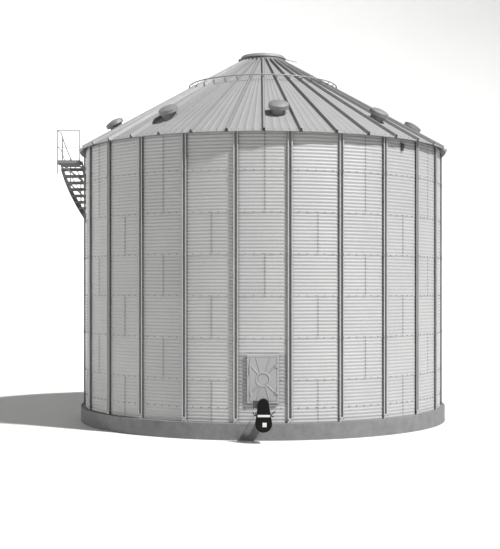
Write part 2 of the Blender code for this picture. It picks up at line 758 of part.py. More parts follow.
def drive_motor():
    """The motor behind the guard, its terminal box, and its stand on the tube."""
    to_y = Matrix.Translation((AUGER_X, GUARD_BACK_Y + GAP, MOTOR_Z)) @ Matrix.Rotation(
        -math.pi / 2, 4, "X")
    profile = ((0.0, 0.0), (MOTOR_R, 0.0), (MOTOR_R, MOTOR_L - MOTOR_END),
               (MOTOR_R * 0.8, MOTOR_L), (0.0, MOTOR_L))
    verts, faces = lathe(profile, 16, to_y)
    motor = solid("drive_motor", verts, faces, GREY, smooth=40)
    near, far = (GUARD_BACK_Y + y for y in STAND_Y)
    stand = box((AUGER_X - STAND_HALF, near, AUGER_Z + AUGER_R + GAP),
                (AUGER_X + STAND_HALF, far, MOTOR_Z - MOTOR_R / 2))
    (x0, y0, z0), (x1, y1, z1) = TERMINAL_BOX
    case = box((x0, GUARD_BACK_Y + y0, z0), (x1, GUARD_BACK_Y + y1, z1))
    boolean(motor, [stand, case], "UNION")
    return motor


def tread_turn(index):
    """The turn at the upper edge of a tread, counted down from the landing."""
    return LANDING_END - index * GOING_DEG


def nosing(index):
    """The height of the stair's pitch line at a tread's upper edge."""
    return LANDING_Z - index * LANDING_Z / RISER_COUNT


def sector(inner, outer, start, end, low, high):
    """A flat piece between two radii and two turns."""
    plan = [polar(inner, start), polar(outer, start), polar(outer, end), polar(inner, end)]
    bottom = [p + Vector((0, 0, low)) for p in plan]
    top = [p + Vector((0, 0, high)) for p in plan]
    return loft([bottom, top])


def string_board(inner, outer, first, last, end_gap):
    """A plate on edge that follows the helix under one side of the treads."""
    rings = []
    for index in range(first, last + 1):
        turn = tread_turn(index)
        turn += -end_gap if index == first else (end_gap if index == last else 0.0)
        high = nosing(index) + STRINGER_UP
        low = max(nosing(index) - STRINGER_DOWN - STRINGER_UP, 0.0)
        high = max(high, low + 0.12)
        rings.append([polar(inner, turn, low), polar(outer, turn, low),
                      polar(outer, turn, high), polar(inner, turn, high)])
    return loft(rings)


def stair_bracket(turn, height, reach_from, knee=None, fall=0.0):
    """An arm under the stair, level or with a fall from its knee, and a raking strut."""
    arm_out = STAIR_OUT - STRINGER_T / 2
    near = reach_from if knee is None else knee
    arms = [bar(outward(turn) * near + Vector((0, 0, height)),
                outward(turn) * arm_out + Vector((0, 0, height)), BRACKET_W, BRACKET_W)]
    if knee is not None:
        wall_end = outward(turn) * (reach_from + SHOE_T) + Vector((0, 0, height - fall))
        arms.append(bar(wall_end,
                        outward(turn) * (knee + BRACKET_W / 2) + Vector((0, 0, height)),
                        BRACKET_W - GAP * 2, BRACKET_W - GAP * 2))
    foot_z = max(height - STRUT_DROP, BASE_Z + 0.08)
    clear = reach_from + 0.02
    strut = bar(outward(turn) * clear + Vector((0, 0, foot_z)),
                outward(turn) * (arm_out - STRUT_INSET) + Vector((0, 0, height)), STRUT_W, STRUT_W)
    middle = outward(turn) * (reach_from + SHOE_T / 2)
    shoe = bar(middle + Vector((0, 0, foot_z - BRACKET_W)),
               middle + Vector((0, 0, height - fall + BRACKET_W)), SHOE_W, SHOE_T, up=outward(turn))
    return arms + [strut, shoe]


def stair_flights():
    """Four lengths of winding stair, each with its treads between two stringers."""
    end_gap = math.degrees(GAP / STAIR_IN)
    post_face = CREST_R + RIDGE_H + 2 * GAP
    stiffener_turns = [-STIFFENER_STEP * (k + 0.5) for k in range(6, 12)]
    for number, (first, last) in enumerate(FLIGHTS, start=1):
        inner = string_board(STAIR_IN, STAIR_IN + STRINGER_T, first, last, end_gap)
        outer = string_board(STAIR_OUT - STRINGER_T, STAIR_OUT, first, last, end_gap)
        flight = solid(f"stair_flight_{number}", *inner, DARK_STEEL)
        treads = []
        for index in range(first, last):
            top = nosing(index + 1)
            start = tread_turn(index) - TREAD_INSET
            stop = tread_turn(index + 1) - math.degrees(TREAD_OVERLAP / STAIR_OUT)
            if index == last - 1:
                stop = tread_turn(index + 1) + TREAD_INSET
            treads.append(sector(STAIR_IN + STRINGER_T / 2, STAIR_OUT - STRINGER_T / 2,
                                 start, stop, top - TREAD_T, top))
        braces = []
        for turn in stiffener_turns:
            place = (LANDING_END - turn) / GOING_DEG
            if first + BRACKET_CLEAR < place < last - BRACKET_CLEAR:
                height = nosing(place) - STRINGER_DOWN - STRINGER_UP + ARM_UNDER
                braces.extend(stair_bracket(turn, height, post_face))
        boolean(flight, [together([outer])], "UNION")
        boolean(flight, [together(treads)] + braces, "UNION")


def rail_point(index, radius, up):
    """A point above the stair's pitch line, but no higher than the landing's rail."""
    level, sloped = up
    return polar(radius, tread_turn(index), min(LANDING_Z + level, nosing(index) + sloped))


def post(radius, turn, low, high):
    """A square upright between two heights."""
    frame = Matrix.Translation(polar(radius, turn)) @ Matrix.Rotation(math.radians(turn), 4, "Z")
    half = POST_W / 2
    return box((-half, -half, low), (half, half, high), frame)


def handrails():
    """The outer handrail in four lengths, with posts, top rail and middle rail."""
    radius = STAIR_OUT + GAP + POST_W / 2
    end_gap = GAP / (STAIR_OUT * math.radians(GOING_DEG))
    for number, (first, last) in enumerate(FLIGHTS, start=1):
        places = sorted({*range(first + 1, last - 1, POST_SPACING), last - 1})
        start = [first + end_gap] if number > 1 else [RAIL_START, RAIL_KNEE]
        between = sorted({*range(first + 1, last, 2), last - 1})
        line = start + between + [last - end_gap]
        top = tube([rail_point(i, radius, RAIL_UP) for i in line], RAIL_R, 6)
        middle = tube([rail_point(i, radius, MID_RAIL_UP) for i in line], RAIL_R * 0.8, 6)
        rail = solid(f"stair_handrail_{number}", *top, STEEL)
        posts = []
        for place in places:
            low = max(nosing(place) - POST_DOWN, 0.002)
            high = rail_point(place, radius, RAIL_UP).z
            posts.append(post(radius, tread_turn(place), low, high))
        boolean(rail, [together([middle]), together(posts)], "UNION")


def stair_landing():
    """The landing at the eave with its end guard, side guard and two wall brackets."""
    end_gap = math.degrees(GAP / STAIR_IN)
    deck = sector(STAIR_IN, STAIR_OUT, LANDING_START, LANDING_END + end_gap,
                  LANDING_Z - LANDING_T, LANDING_Z)
    landing = solid("stair_landing", *deck, DARK_STEEL)
    radius = STAIR_OUT + POST_W / 2 - 0.004
    inside = STAIR_IN + POST_W / 2 - 0.004
    shapes = []
    under = LANDING_Z - LANDING_T
    shapes.append(sector(STAIR_IN + JOIST_INSET[0], STAIR_OUT - JOIST_INSET[1], *JOIST_TURNS,
                         under - JOIST_H, under + 0.002))
    for place, down in ((radius, END_POST_DOWN), (inside, LANDING_T)):
        shapes.append(post(place, LANDING_POST_TURN, LANDING_Z - down, LANDING_Z + RAIL_UP[0]))
    for up, width in ((RAIL_UP[0], RAIL_R), (MID_RAIL_UP[0], RAIL_R * 0.8)):
        line = [polar(inside, LANDING_POST_TURN, LANDING_Z + up),
                polar(radius, LANDING_POST_TURN, LANDING_Z + up),
                polar(radius, LANDING_END + end_gap * 2, LANDING_Z + up)]
        shapes.append(tube(line, width, 6))
    facet_step = 360.0 / WALL_SIDES
    for turn in LANDING_BRACKET_TURNS:
        lean = math.radians(turn - round(turn / facet_step) * facet_step)
        start = (CREST_R + GAP) / math.cos(lean) + SHOE_W / 2 * abs(math.tan(lean))
        shapes.extend(stair_bracket(turn, under - ARM_TUCK, start,
                                    LANDING_ARM_KNEE, LANDING_ARM_FALL))
    boolean(landing, shapes, "UNION")
    return landing


def build():
    """Make every piece of the silo."""
    clear_scene()
    foundation()
    wall_tiers()
    stiffeners()
    eave_ring()
    roof()
    roof_vents()
    peak_collar()
    peak_lid()
    safety_ring()
    door_frame()
    walk_in_door()
    auger_tube()
    belt_guard()
    drive_motor()
    stair_landing()
    stair_flights()
    handrails()


build()
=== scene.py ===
"""Looks of the grain silo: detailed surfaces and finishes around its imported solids.

The bin's axis is Z, the ground is z = 0 and lengths are metres. A turn is in degrees from the
front (-Y) towards +X, so the walk-in door is at turn 0. A shape is a pair: its points, and a list
of arrays of faces with equal corner counts.
"""
import math

import bpy
import numpy as np
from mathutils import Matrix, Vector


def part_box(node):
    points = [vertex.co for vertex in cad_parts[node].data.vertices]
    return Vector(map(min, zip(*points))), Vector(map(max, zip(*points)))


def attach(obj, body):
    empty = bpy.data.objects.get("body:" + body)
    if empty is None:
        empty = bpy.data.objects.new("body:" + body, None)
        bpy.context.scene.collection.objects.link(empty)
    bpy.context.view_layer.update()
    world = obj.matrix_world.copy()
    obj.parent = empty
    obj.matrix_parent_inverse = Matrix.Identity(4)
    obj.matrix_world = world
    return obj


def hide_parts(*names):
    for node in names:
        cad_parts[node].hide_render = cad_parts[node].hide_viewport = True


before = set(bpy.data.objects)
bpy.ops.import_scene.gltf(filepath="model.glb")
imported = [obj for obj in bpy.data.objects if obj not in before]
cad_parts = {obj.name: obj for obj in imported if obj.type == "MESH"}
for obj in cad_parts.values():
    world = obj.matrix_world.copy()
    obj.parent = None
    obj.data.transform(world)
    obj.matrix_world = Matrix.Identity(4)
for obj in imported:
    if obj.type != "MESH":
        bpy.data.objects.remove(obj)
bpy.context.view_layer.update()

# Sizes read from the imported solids
BASE_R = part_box("foundation")[1].x
BASE_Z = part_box("foundation")[1].z
TIER_TOPS = [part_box(f"wall_tier_{tier}")[1].z for tier in range(1, 8)]
WALL_TOP = TIER_TOPS[-1]

# Corrugated wall
TIER_PITCHES = 12
PITCH = (TIER_TOPS[1] - TIER_TOPS[0]) / TIER_PITCHES
SEAM_LAP = 0.1126           # a level seam's bolts lie this far above the border of two solids
SEAMS = [BASE_Z] + [top + SEAM_LAP for top in TIER_TOPS[:-1]] + [WALL_TOP]
WAVE_FOOT = SEAMS[1] - TIER_PITCHES * PITCH
CREST_R = 5.4925
DEPTH = 0.0112
SHEET_T = 0.0015
LAP_RISE = 0.0016
PITCH_ROWS = 6
SHEETS = 12
SHEET_DEG = 360.0 / SHEETS
LAP_DEG = 0.8
SEAM_SHIFT = (15, 0, 15, 0, 15, 0, 0)
BAY_BOLTS = (-5.0, -2.5, 0.0, 2.5, 5.0)
HOLE = (-0.101, 0.131, 0.462, 0.698)

# Stiffeners
STIFFENER_STEP = 15.0
STIFFENER_T = 0.003
RIDGE_H = 0.053

# Roof
PANELS = 36
PANEL_DEG = 360.0 / PANELS
RIB_TURN = 0.3
ROOF_R = 5.674
ROOF_Z = 8.18
SLOPE = math.radians(30.0)
ROOF_TOP_R = 0.70
RIB_H = 0.082
ROOF_SHEET_T = 0.0018
EAVE_U = ROOF_R * math.cos(math.radians(PANEL_DEG / 2))
VENT_COUNT = 9
VENT_TURN = 5.3
VENT_R = 4.54
RING_R = 2.307
RING_Z = 10.30
RING_TUBE_R = 0.018

# Peak
COLLAR_R = 0.6997
LID_Z = 11.18
LID_R = 0.715
LID_AXIS_X = -0.745
LEVER_END = (1.065, 0.0, 11.118)

# Door
DOOR_HALF = 0.42
DOOR_BOTTOM = 0.977
DOOR_TOP = 2.257
FRAME_FRONT = -5.54
FRAME_BACK = -5.45
LEAF_FRONT = -5.543
LEAF_BACK = -5.511
LEAF_HALF = 0.365
LEAF_Z = (1.032, 2.202)
HINGE_X = 0.385
HINGE_Y = -5.550
HINGE_PIN_R = 0.006
HINGE_HEIGHTS = (1.265, 1.975)
PRESS_RING = (0.0, 1.611, 0.178)

# Unloading auger and drive
AUGER_X = 0.015
AUGER_Z = 0.58
AUGER_R = 0.105
GUARD_BACK = -6.18
GUARD_T = 0.14
GUARD_LOW = (0.019, 0.509, 0.222)
GUARD_HIGH = (0.015, 1.039, 0.137)
MOTOR_Z = 0.90
ROD_X = (-0.186, 0.194)
ROD_Z = 0.722

# Stair
STAIR_IN = 5.70
STAIR_OUT = 6.39
BOARD_T = 0.02
RISERS = 43
LANDING_Z = 8.015
LANDING_T = 0.10
LANDING_START = -87.2
LANDING_END = -92.4
LANDING_POST_TURN = -87.506
GOING = 2.4
RISE = LANDING_Z / RISERS
FLIGHTS = ((0, 10), (10, 20), (20, 31), (31, 42))
POST_W = 0.027
RAIL_LINE = STAIR_OUT + 0.0143
RAIL_R = 0.0135
RAIL_UP = (0.93, 1.01)
MID_RAIL_UP = (0.41, 0.48)
EAVE_BRACKET_TURN = 45.0

# Photograph's frame and viewpoint
PHOTO_SIZE = (500, 549)
CAMERA_AT = (0.0, -35.33, 3.983)
LENS_MM = 73.86
PRINCIPAL_PX = (262.9, 289.76)

# Lights: name, energy, angle across, turn and height above the floor in degrees
LIGHTS = (("key", 6.3, 3.0, 58.0, 53.0), ("fill", 1.1, 60.0, 28.0, 5.0))


# Shapes

def unit(vectors):
    """Each vector divided by its length."""
    return vectors / np.linalg.norm(vectors, axis=-1, keepdims=True)


def polar(radius, turn, z=0.0):
    """Points at x = r sin(turn), y = -r cos(turn) and a height."""
    radius, turn, z = np.broadcast_arrays(radius, np.radians(turn), z)
    return np.stack([radius * np.sin(turn), -radius * np.cos(turn), z], -1)


def smooth_step(value):
    """0 below 0, 1 above 1, and 3t^2 - 2t^3 between."""
    t = np.clip(value, 0.0, 1.0)
    return t * t * (3.0 - 2.0 * t)


def rounded(points, radius, steps=3, closed=False):
    """A line whose corners become quadratic curves that start and end `radius` from each corner."""
    points = np.asarray(points, float)
    starts, stops = [], []
    for shift, kept in ((1, starts), (-1, stops)):
        away = np.roll(points, shift, 0) - points
        reach = np.linalg.norm(away, axis=1, keepdims=True)
        kept.append(points + away / reach * np.minimum(radius, 0.45 * reach))
    t = np.linspace(0.0, 1.0, steps + 1)[:, None]
    start, stop, corner = starts[0][:, None], stops[0][:, None], points[:, None]
    curve = (1 - t) ** 2 * start + 2 * t * (1 - t) * corner + t ** 2 * stop
    if closed:
        return curve.reshape(-1, points.shape[1])
    return np.vstack([points[:1], curve[1:-1].reshape(-1, points.shape[1]), points[-1:]])


def disc(radius, sides=12):
    """Corners of a regular section: (r cos a, r sin a) at equal steps of a."""
    turn = 2 * np.pi * (np.arange(sides) + 0.5) / sides
    return radius * np.stack([np.cos(turn), np.sin(turn)], -1)


def rectangle(width, height, radius=0.0):
    """Corners of a rectangle about the origin, rounded if a radius is given."""
    corners = np.array([(-1, -1), (1, -1), (1, 1), (-1, 1)]) * (width / 2, height / 2)
    return rounded(corners, radius, 2, closed=True) if radius else corners


def angle_iron(width, height, thick):
    """An L section with its heel at the origin."""
    return np.array([(0, 0), (width, 0), (width, thick), (thick, thick), (thick, height), (0, height)])


def ribbon(line, thick):
    """A closed section of a folded sheet: a line, and the same line moved in by its thickness."""
    along = unit(np.gradient(line, axis=0))
    inside = line + np.stack([along[:, 1], -along[:, 0]], -1) * thick
    return np.vstack([line, inside[::-1]])


def joined(*shapes):
    """Several shapes as one, with the later ones' corner numbers moved up."""
    points, faces, start = [], [], 0
    for more_points, more_faces in shapes:
        points.append(more_points)
        faces.extend(group + start for group in more_faces)
        start += len(more_points)
    return np.vstack(points), faces


def outward(shape):
    """Turns every face round if the volume that the faces enclose comes out negative."""
    points, faces = shape
    centred = points - points.mean(0)
    volume = 0.0
    for group in faces:
        corner = centred[group]
        for k in range(1, group.shape[1] - 1):
            volume += np.sum(corner[:, 0] * np.cross(corner[:, k], corner[:, k + 1]))
    return (points, [group[:, ::-1] for group in faces]) if volume < 0 else shape


def grid(net, wrap_rows=False, wrap_columns=False, caps=False):
    """A net of points (rows, columns, 3) as four-cornered faces, its end rows capped if wanted."""
    rows, columns = net.shape[:2]
    index = np.arange(rows * columns).reshape(rows, columns)
    faces = [index[:1, ::-1], index[-1:]] if caps else []
    if wrap_rows:
        index = np.vstack([index, index[:1]])
    if wrap_columns:
        index = np.hstack([index, index[:, :1]])
    quads = np.stack([index[:-1, :-1], index[:-1, 1:], index[1:, 1:], index[1:, :-1]], -1)
    return net.reshape(-1, 3), [quads.reshape(-1, 4)] + faces


def plate(front, back, kept=None, wrap=False):
    """A sheet between two nets of points, closed along each open edge and round each hole."""
    points, (quads,) = grid(front, wrap_columns=wrap)
    if kept is not None:
        quads = quads[kept.reshape(-1)]
    count = len(points)
    edges = np.concatenate([quads[:, [k, (k + 1) % 4]] for k in range(4)])
    code = edges[:, 0] * count + edges[:, 1]
    rim = edges[~np.isin(code, edges[:, 1] * count + edges[:, 0])]
    rims = np.stack([rim[:, 1], rim[:, 0], rim[:, 0] + count, rim[:, 1] + count], -1)
    both = np.vstack([points, back.reshape(-1, 3)])
    return outward((both, [np.concatenate([quads, quads[:, ::-1] + count, rims])]))


def prisms(starts, ends, section, up=(0.0, 0.0, 1.0)):
    """Straight bars: each section corner (a, b) goes from start to end, a along dir x up, b up."""
    starts, ends = np.broadcast_arrays(np.atleast_2d(starts), np.atleast_2d(ends))
    along = unit((ends - starts).astype(float))
    side = unit(np.cross(along, up))
    rise = np.cross(side, along)
    offset = side[:, None] * section[:, :1] + rise[:, None] * section[:, 1:]
    rings = np.stack([starts[:, None] + offset, ends[:, None] + offset], 1)
    one = outward(grid(rings[0], wrap_columns=True, caps=True))
    shift = (np.arange(len(rings)) * len(one[0]))[:, None, None]
    faces = [(group[None] + shift).reshape(-1, group.shape[1]) for group in one[1]]
    return rings.reshape(-1, 3), faces


def sweep(path, section, closed=False, up=(0.0, 0.0, 1.0)):
    """A section carried along a path, square at each point to the mean of its two directions."""
    path = np.asarray(path, float)
    if closed:
        ahead, behind = np.roll(path, -1, 0) - path, path - np.roll(path, 1, 0)
    else:
        steps = np.diff(path, axis=0)
        ahead, behind = np.vstack([steps, steps[-1:]]), np.vstack([steps[:1], steps])
    along = unit(unit(ahead) + unit(behind))
    side = unit(np.cross(along, up))
    rise = np.cross(side, along)
    net = path[:, None] + side[:, None] * section[:, :1] + rise[:, None] * section[:, 1:]
    return outward(grid(net, wrap_rows=closed, wrap_columns=True, caps=not closed))


def lathe(profile, sides):
    """A (radius, height) profile turned about Z, closed on the axis or else on itself."""
    profile = np.asarray(profile, float)
    solid = profile[0, 0] == 0.0
    rim = profile[1:-1] if solid else profile
    turn = 2 * np.pi * (np.arange(sides) + 0.5) / sides
    radius, height = rim[:, :1], np.repeat(rim[:, 1:], sides, 1)
    net = np.stack([radius * np.cos(turn), radius * np.sin(turn), height], -1)
    points, faces = grid(net, wrap_rows=not solid, wrap_columns=True)
    if solid:
        first = np.arange(sides)
        last = first + sides * (len(rim) - 1)
        poles = len(points) + np.zeros(sides, int)
        points = np.vstack([points, [(0, 0, profile[0, 1]), (0, 0, profile[-1, 1])]])
        faces.append(np.stack([poles, np.roll(first, -1), first], -1))
        faces.append(np.stack([poles + 1, last, np.roll(last, -1)], -1))
    return outward((points, faces))


def frames(at, out, up=(0.0, 0.0, 1.0)):
    """Placing matrices: the third axis points out and the second is the nearest to up."""
    at, out = np.broadcast_arrays(np.atleast_2d(at), unit(np.atleast_2d(out)))
    across = unit(np.cross(up, out))
    return np.stack([across, np.cross(out, across), out, at], -1)


def copies(shape, places):
    """A shape repeated by each placing matrix (rotation in three columns, place in the fourth)."""
    points, faces = shape
    moved = np.einsum("nij,pj->npi", places[:, :, :3], points) + places[:, None, :, 3]
    shift = (np.arange(len(places)) * len(points))[:, None, None]
    return moved.reshape(-1, 3), [(g[None] + shift).reshape(-1, g.shape[1]) for g in faces]


def block(low, high, bevel=0.0):
    """A box between two corners, its four upright edges rounded by bevel."""
    low, high = np.asarray(low, float), np.asarray(high, float)
    middle, size = (low + high) / 2, high - low
    start, end = middle - (0, 0, size[2] / 2), middle + (0, 0, size[2] / 2)
    return prisms(start, end, rectangle(size[1], size[0], bevel), up=(1.0, 0.0, 0.0))


def turned(shape, turn):
    """A shape made at the front, moved round the bin's axis by a turn."""
    angle = math.radians(turn)
    spin = np.array([(math.cos(angle), -math.sin(angle), 0), (math.sin(angle), math.cos(angle), 0),
                     (0, 0, 1)])
    return shape[0] @ spin.T, shape[1]


def put(name, shape, finish, body="bin", replaces=(), smooth=35.0, tone=None):
    """Makes a shape a piece of the silo: its mesh, finish and body; it hides the solids it stands for.
    The tone lightens or darkens the finish, as one number or as one for each point."""
    points, faces = shape
    used = np.unique(np.concatenate([group.reshape(-1) for group in faces]))
    order = np.zeros(len(points), int)
    order[used] = np.arange(len(used))
    counts = np.concatenate([np.full(len(group), group.shape[1]) for group in faces])
    corners = order[np.concatenate([group.reshape(-1) for group in faces])]
    mesh = bpy.data.meshes.new(name)
    mesh.vertices.add(len(used))
    mesh.vertices.foreach_set("co", points[used].astype(np.float32).reshape(-1))
    mesh.loops.add(len(corners))
    mesh.loops.foreach_set("vertex_index", corners.astype(np.int32))
    mesh.polygons.add(len(counts))
    mesh.polygons.foreach_set("loop_start", (np.cumsum(counts) - counts).astype(np.int32))
    mesh.polygons.foreach_set("loop_total", counts.astype(np.int32))
    if tone is not None:
        values = mesh.attributes.new("tone", "FLOAT", "POINT")
        values.data.foreach_set("value", np.broadcast_to(tone, len(points))[used].astype(np.float32))
    mesh.update(calc_edges=True)
    mesh.validate()
    mesh.shade_smooth()
    mesh.set_sharp_from_angle(angle=math.radians(smooth))
    mesh.materials.append(finish)
    piece = bpy.data.objects.new(name, mesh)
    bpy.context.scene.collection.objects.link(piece)
    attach(piece, body)
    if replaces:
        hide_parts(*replaces)
    return piece


# Finishes

def linear(code, alpha=1.0):
    """An sRGB hex colour as linear light."""
    channels = np.array([int(code[i:i + 2], 16) / 255.0 for i in (0, 2, 4)])
    light = np.where(channels <= 0.04045, channels / 12.92, ((channels + 0.055) / 1.055) ** 2.4)
    return (*light, alpha)


def node(tree, kind, sockets=(), **settings):
    """Adds a node with its settings; each socket gets a value or a link from another node."""
    made = tree.nodes.new(kind)
    for name, value in settings.items():
        setattr(made, name, value)
    for socket, value in dict(sockets).items():
        if isinstance(value, bpy.types.NodeSocket):
            tree.links.new(value, made.inputs[socket])
        else:
            made.inputs[socket].default_value = value
    return made


def blank(name, roughness, metallic=0.0):
    """A new material, its node tree, its shader and the object's own coordinates."""
    made = bpy.data.materials.new(name)
    made.use_nodes = True
    tree = made.node_tree
    shader = tree.nodes["Principled BSDF"]
    shader.inputs["Roughness"].default_value = roughness
    shader.inputs["Metallic"].default_value = metallic
    return made, tree, shader, node(tree, "ShaderNodeTexCoord").outputs["Object"]


def zinc(name, pale, dark, roughness, metallic=0.20, spangle_mm=45.0, wash=0.10):
    """Hot-dip galvanised steel: a zinc skin that froze in crystals.

    To the eye: a soft grey sheen, patches that each shine a little differently, and faint upright
    wash marks. The tone attribute lightens or darkens the grey point by point: dirt held in laps,
    and painted shade in folds, under brims, beside the door and on rib flanks. The crystals are
    drawn about three times as coarse as the real 10 to 15 mm, so that they show.
    """
    made, tree, shader, place = blank(name, roughness, metallic)
    crystal = node(tree, "ShaderNodeTexVoronoi", {"Vector": place, "Scale": 1000.0 / spangle_mm})
    cloud = node(tree, "ShaderNodeTexNoise", {"Vector": place, "Scale": 0.8, "Detail": 4.0})
    tall = node(tree, "ShaderNodeMapping", {"Vector": place, "Scale": (7.0, 7.0, 0.35)})
    streak = node(tree, "ShaderNodeTexNoise", {"Vector": tall.outputs[0], "Detail": 3.0})
    base = node(tree, "ShaderNodeMix", {0: cloud.outputs[0], 6: linear(dark), 7: linear(pale)},
                data_type="RGBA")
    # The tone attribute brings in painted shade as well as dirt and each sheet's own tone.
    tone = node(tree, "ShaderNodeAttribute", attribute_name="tone").outputs["Fac"]
    total = node(tree, "ShaderNodeMath", {0: tone, 1: 1.0 - 0.5 * wash - 0.04}, operation="ADD")
    for source, weight in ((streak.outputs[0], wash), (crystal.outputs["Color"], 0.08)):
        total = node(tree, "ShaderNodeMath", {0: source, 1: weight, 2: total.outputs[0]},
                     operation="MULTIPLY_ADD")
    shade = node(tree, "ShaderNodeMix", {0: 1.0, 6: base.outputs[2], 7: total.outputs[0]},
                 data_type="RGBA", blend_type="MULTIPLY")
    tree.links.new(shade.outputs[2], shader.inputs["Base Color"])
    rough = node(tree, "ShaderNodeMath", {0: crystal.outputs["Color"], 1: 0.14, 2: roughness - 0.07},
                 operation="MULTIPLY_ADD")
    tree.links.new(rough.outputs[0], shader.inputs["Roughness"])
    relief = node(tree, "ShaderNodeBump", {"Height": crystal.outputs["Distance"], "Strength": 0.12,
                                           "Distance": 0.0008})
    tree.links.new(relief.outputs[0], shader.inputs["Normal"])
    return made


def concrete():
    """Cast concrete: cement skin struck from a form. To the eye: matt mid-grey, cloudy damp
    patches about 0.3 m wide, dark pores of 10 to 20 mm, and pale run marks down the side."""
    made, tree, shader, place = blank("cast_concrete", 0.92)
    patch = node(tree, "ShaderNodeTexNoise", {"Vector": place, "Scale": 3.2, "Detail": 6.0,
                                              "Roughness": 0.62})
    grain = node(tree, "ShaderNodeTexNoise", {"Vector": place, "Scale": 38.0, "Detail": 5.0,
                                              "Roughness": 0.7})
    pores = node(tree, "ShaderNodeTexVoronoi", {"Vector": place, "Scale": 26.0})
    pit = node(tree, "ShaderNodeMapRange", {"Value": pores.outputs["Distance"], "From Min": 0.08,
                                            "From Max": 0.26, "To Min": 0.72, "To Max": 1.0})
    base = node(tree, "ShaderNodeMix", {0: patch.outputs[0], 6: linear("585755"),
                                        7: linear("848386")}, data_type="RGBA")
    grit = node(tree, "ShaderNodeMapRange", {"Value": grain.outputs[0], "From Min": 0.25,
                                             "From Max": 0.75, "To Min": 0.80, "To Max": 1.12})
    speck = node(tree, "ShaderNodeMath", {0: pit.outputs[0], 1: grit.outputs[0]},
                 operation="MULTIPLY")
    shade = node(tree, "ShaderNodeMix", {0: 1.0, 6: base.outputs[2], 7: speck.outputs[0]},
                 data_type="RGBA", blend_type="MULTIPLY")
    tree.links.new(shade.outputs[2], shader.inputs["Base Color"])
    relief = node(tree, "ShaderNodeBump", {"Height": speck.outputs[0], "Strength": 0.5,
                                           "Distance": 0.004})
    tree.links.new(relief.outputs[0], shader.inputs["Normal"])
    return made


def paint(name, colour, dust, roughness, film=0.5, sheen=0.5):
    """Sprayed machine enamel on steel: an even satin coat with slight orange peel, and a film of
    pale dust on the faces that look up."""
    made, tree, shader, place = blank(name, roughness)
    shader.inputs["Specular IOR Level"].default_value = sheen
    up = node(tree, "ShaderNodeSeparateXYZ",
              {0: node(tree, "ShaderNodeNewGeometry").outputs["Normal"]})
    cloud = node(tree, "ShaderNodeTexNoise", {"Vector": place, "Scale": 9.0, "Detail": 4.0})
    lying = node(tree, "ShaderNodeMapRange", {"Value": up.outputs["Z"], "From Min": -0.2,
                                              "From Max": 1.0, "To Min": 0.01, "To Max": film})
    cover = node(tree, "ShaderNodeMath", {0: lying.outputs[0], 1: cloud.outputs[0]},
                 operation="MULTIPLY")
    coat = node(tree, "ShaderNodeMix", {0: cover.outputs[0], 6: linear(colour), 7: linear(dust)},
                data_type="RGBA")
    tree.links.new(coat.outputs[2], shader.inputs["Base Color"])
    peel = node(tree, "ShaderNodeTexNoise", {"Vector": place, "Scale": 420.0})
    relief = node(tree, "ShaderNodeBump", {"Height": peel.outputs[0], "Strength": 0.08,
                                           "Distance": 0.0006})
    tree.links.new(relief.outputs[0], shader.inputs["Normal"])
    return made


WALL_ZINC = zinc("galvanised_wall_sheet", "ACACAC", "9F9F9F", 0.56)
ROOF_ZINC = zinc("galvanised_roof_sheet", "969696", "8B8B8B", 0.60, wash=0.06)
VENT_ZINC = zinc("galvanised_vent_spinning", "808080", "747474", 0.62, wash=0.04)
POST_ZINC = zinc("galvanised_stiffener_section", "A8A8A8", "9A9A9A", 0.54, wash=0.04)
DOOR_ZINC = zinc("galvanised_door_pressing", "9E9E9E", "929292", 0.54, wash=0.03)
DULL_ZINC = zinc("weathered_galvanised_section", "9E9E9E", "8B8B8B", 0.60, metallic=0.25)
BOLT_ZINC = zinc("zinc_plated_bolt", "6E6E6E", "5E5E5E", 0.50, metallic=0.4, spangle_mm=60.0)
CONCRETE = concrete()
BLACK = paint("black_painted_steel", "090909", "2C2C2B", 0.5, film=0.12, sheen=0.16)
GREY = paint("grey_painted_cast_iron", "3C3E40", "6B6964", 0.5)
PALE = paint("pale_enamelled_steel", "C9C9C5", "BDBCB7", 0.45)


# Small fasteners

def hex_bolt(radius=0.011, height=0.009, washer=0.016):
    """A six-sided head with a domed top on a round washer, standing on z = 0."""
    head = lathe([(0, 0.0), (radius, 0.0), (radius, height), (0.72 * radius, height * 1.18),
                  (0, height * 1.18)], 6)
    ring = lathe([(0, 0.0), (washer, 0.0), (washer * 0.92, 0.003), (0, 0.003)], 6)
    return joined(ring, (head[0] + (0, 0, 0.0025), head[1]))


def bolts(name, at, out, finish=None, slot="galvanised_section", body="bin", **sizes):
    """One piece of many bolts, each standing on its point along its outward direction."""
    up = np.where(np.abs(unit(np.atleast_2d(out))[:, 2:]) > 0.95, (0.0, 1.0, 0.0), (0.0, 0.0, 1.0))
    shape = copies(hex_bolt(**sizes), frames(at, out, up))
    return put(name, shape, finish or BOLT_ZINC, body, smooth=25.0)


# Concrete base

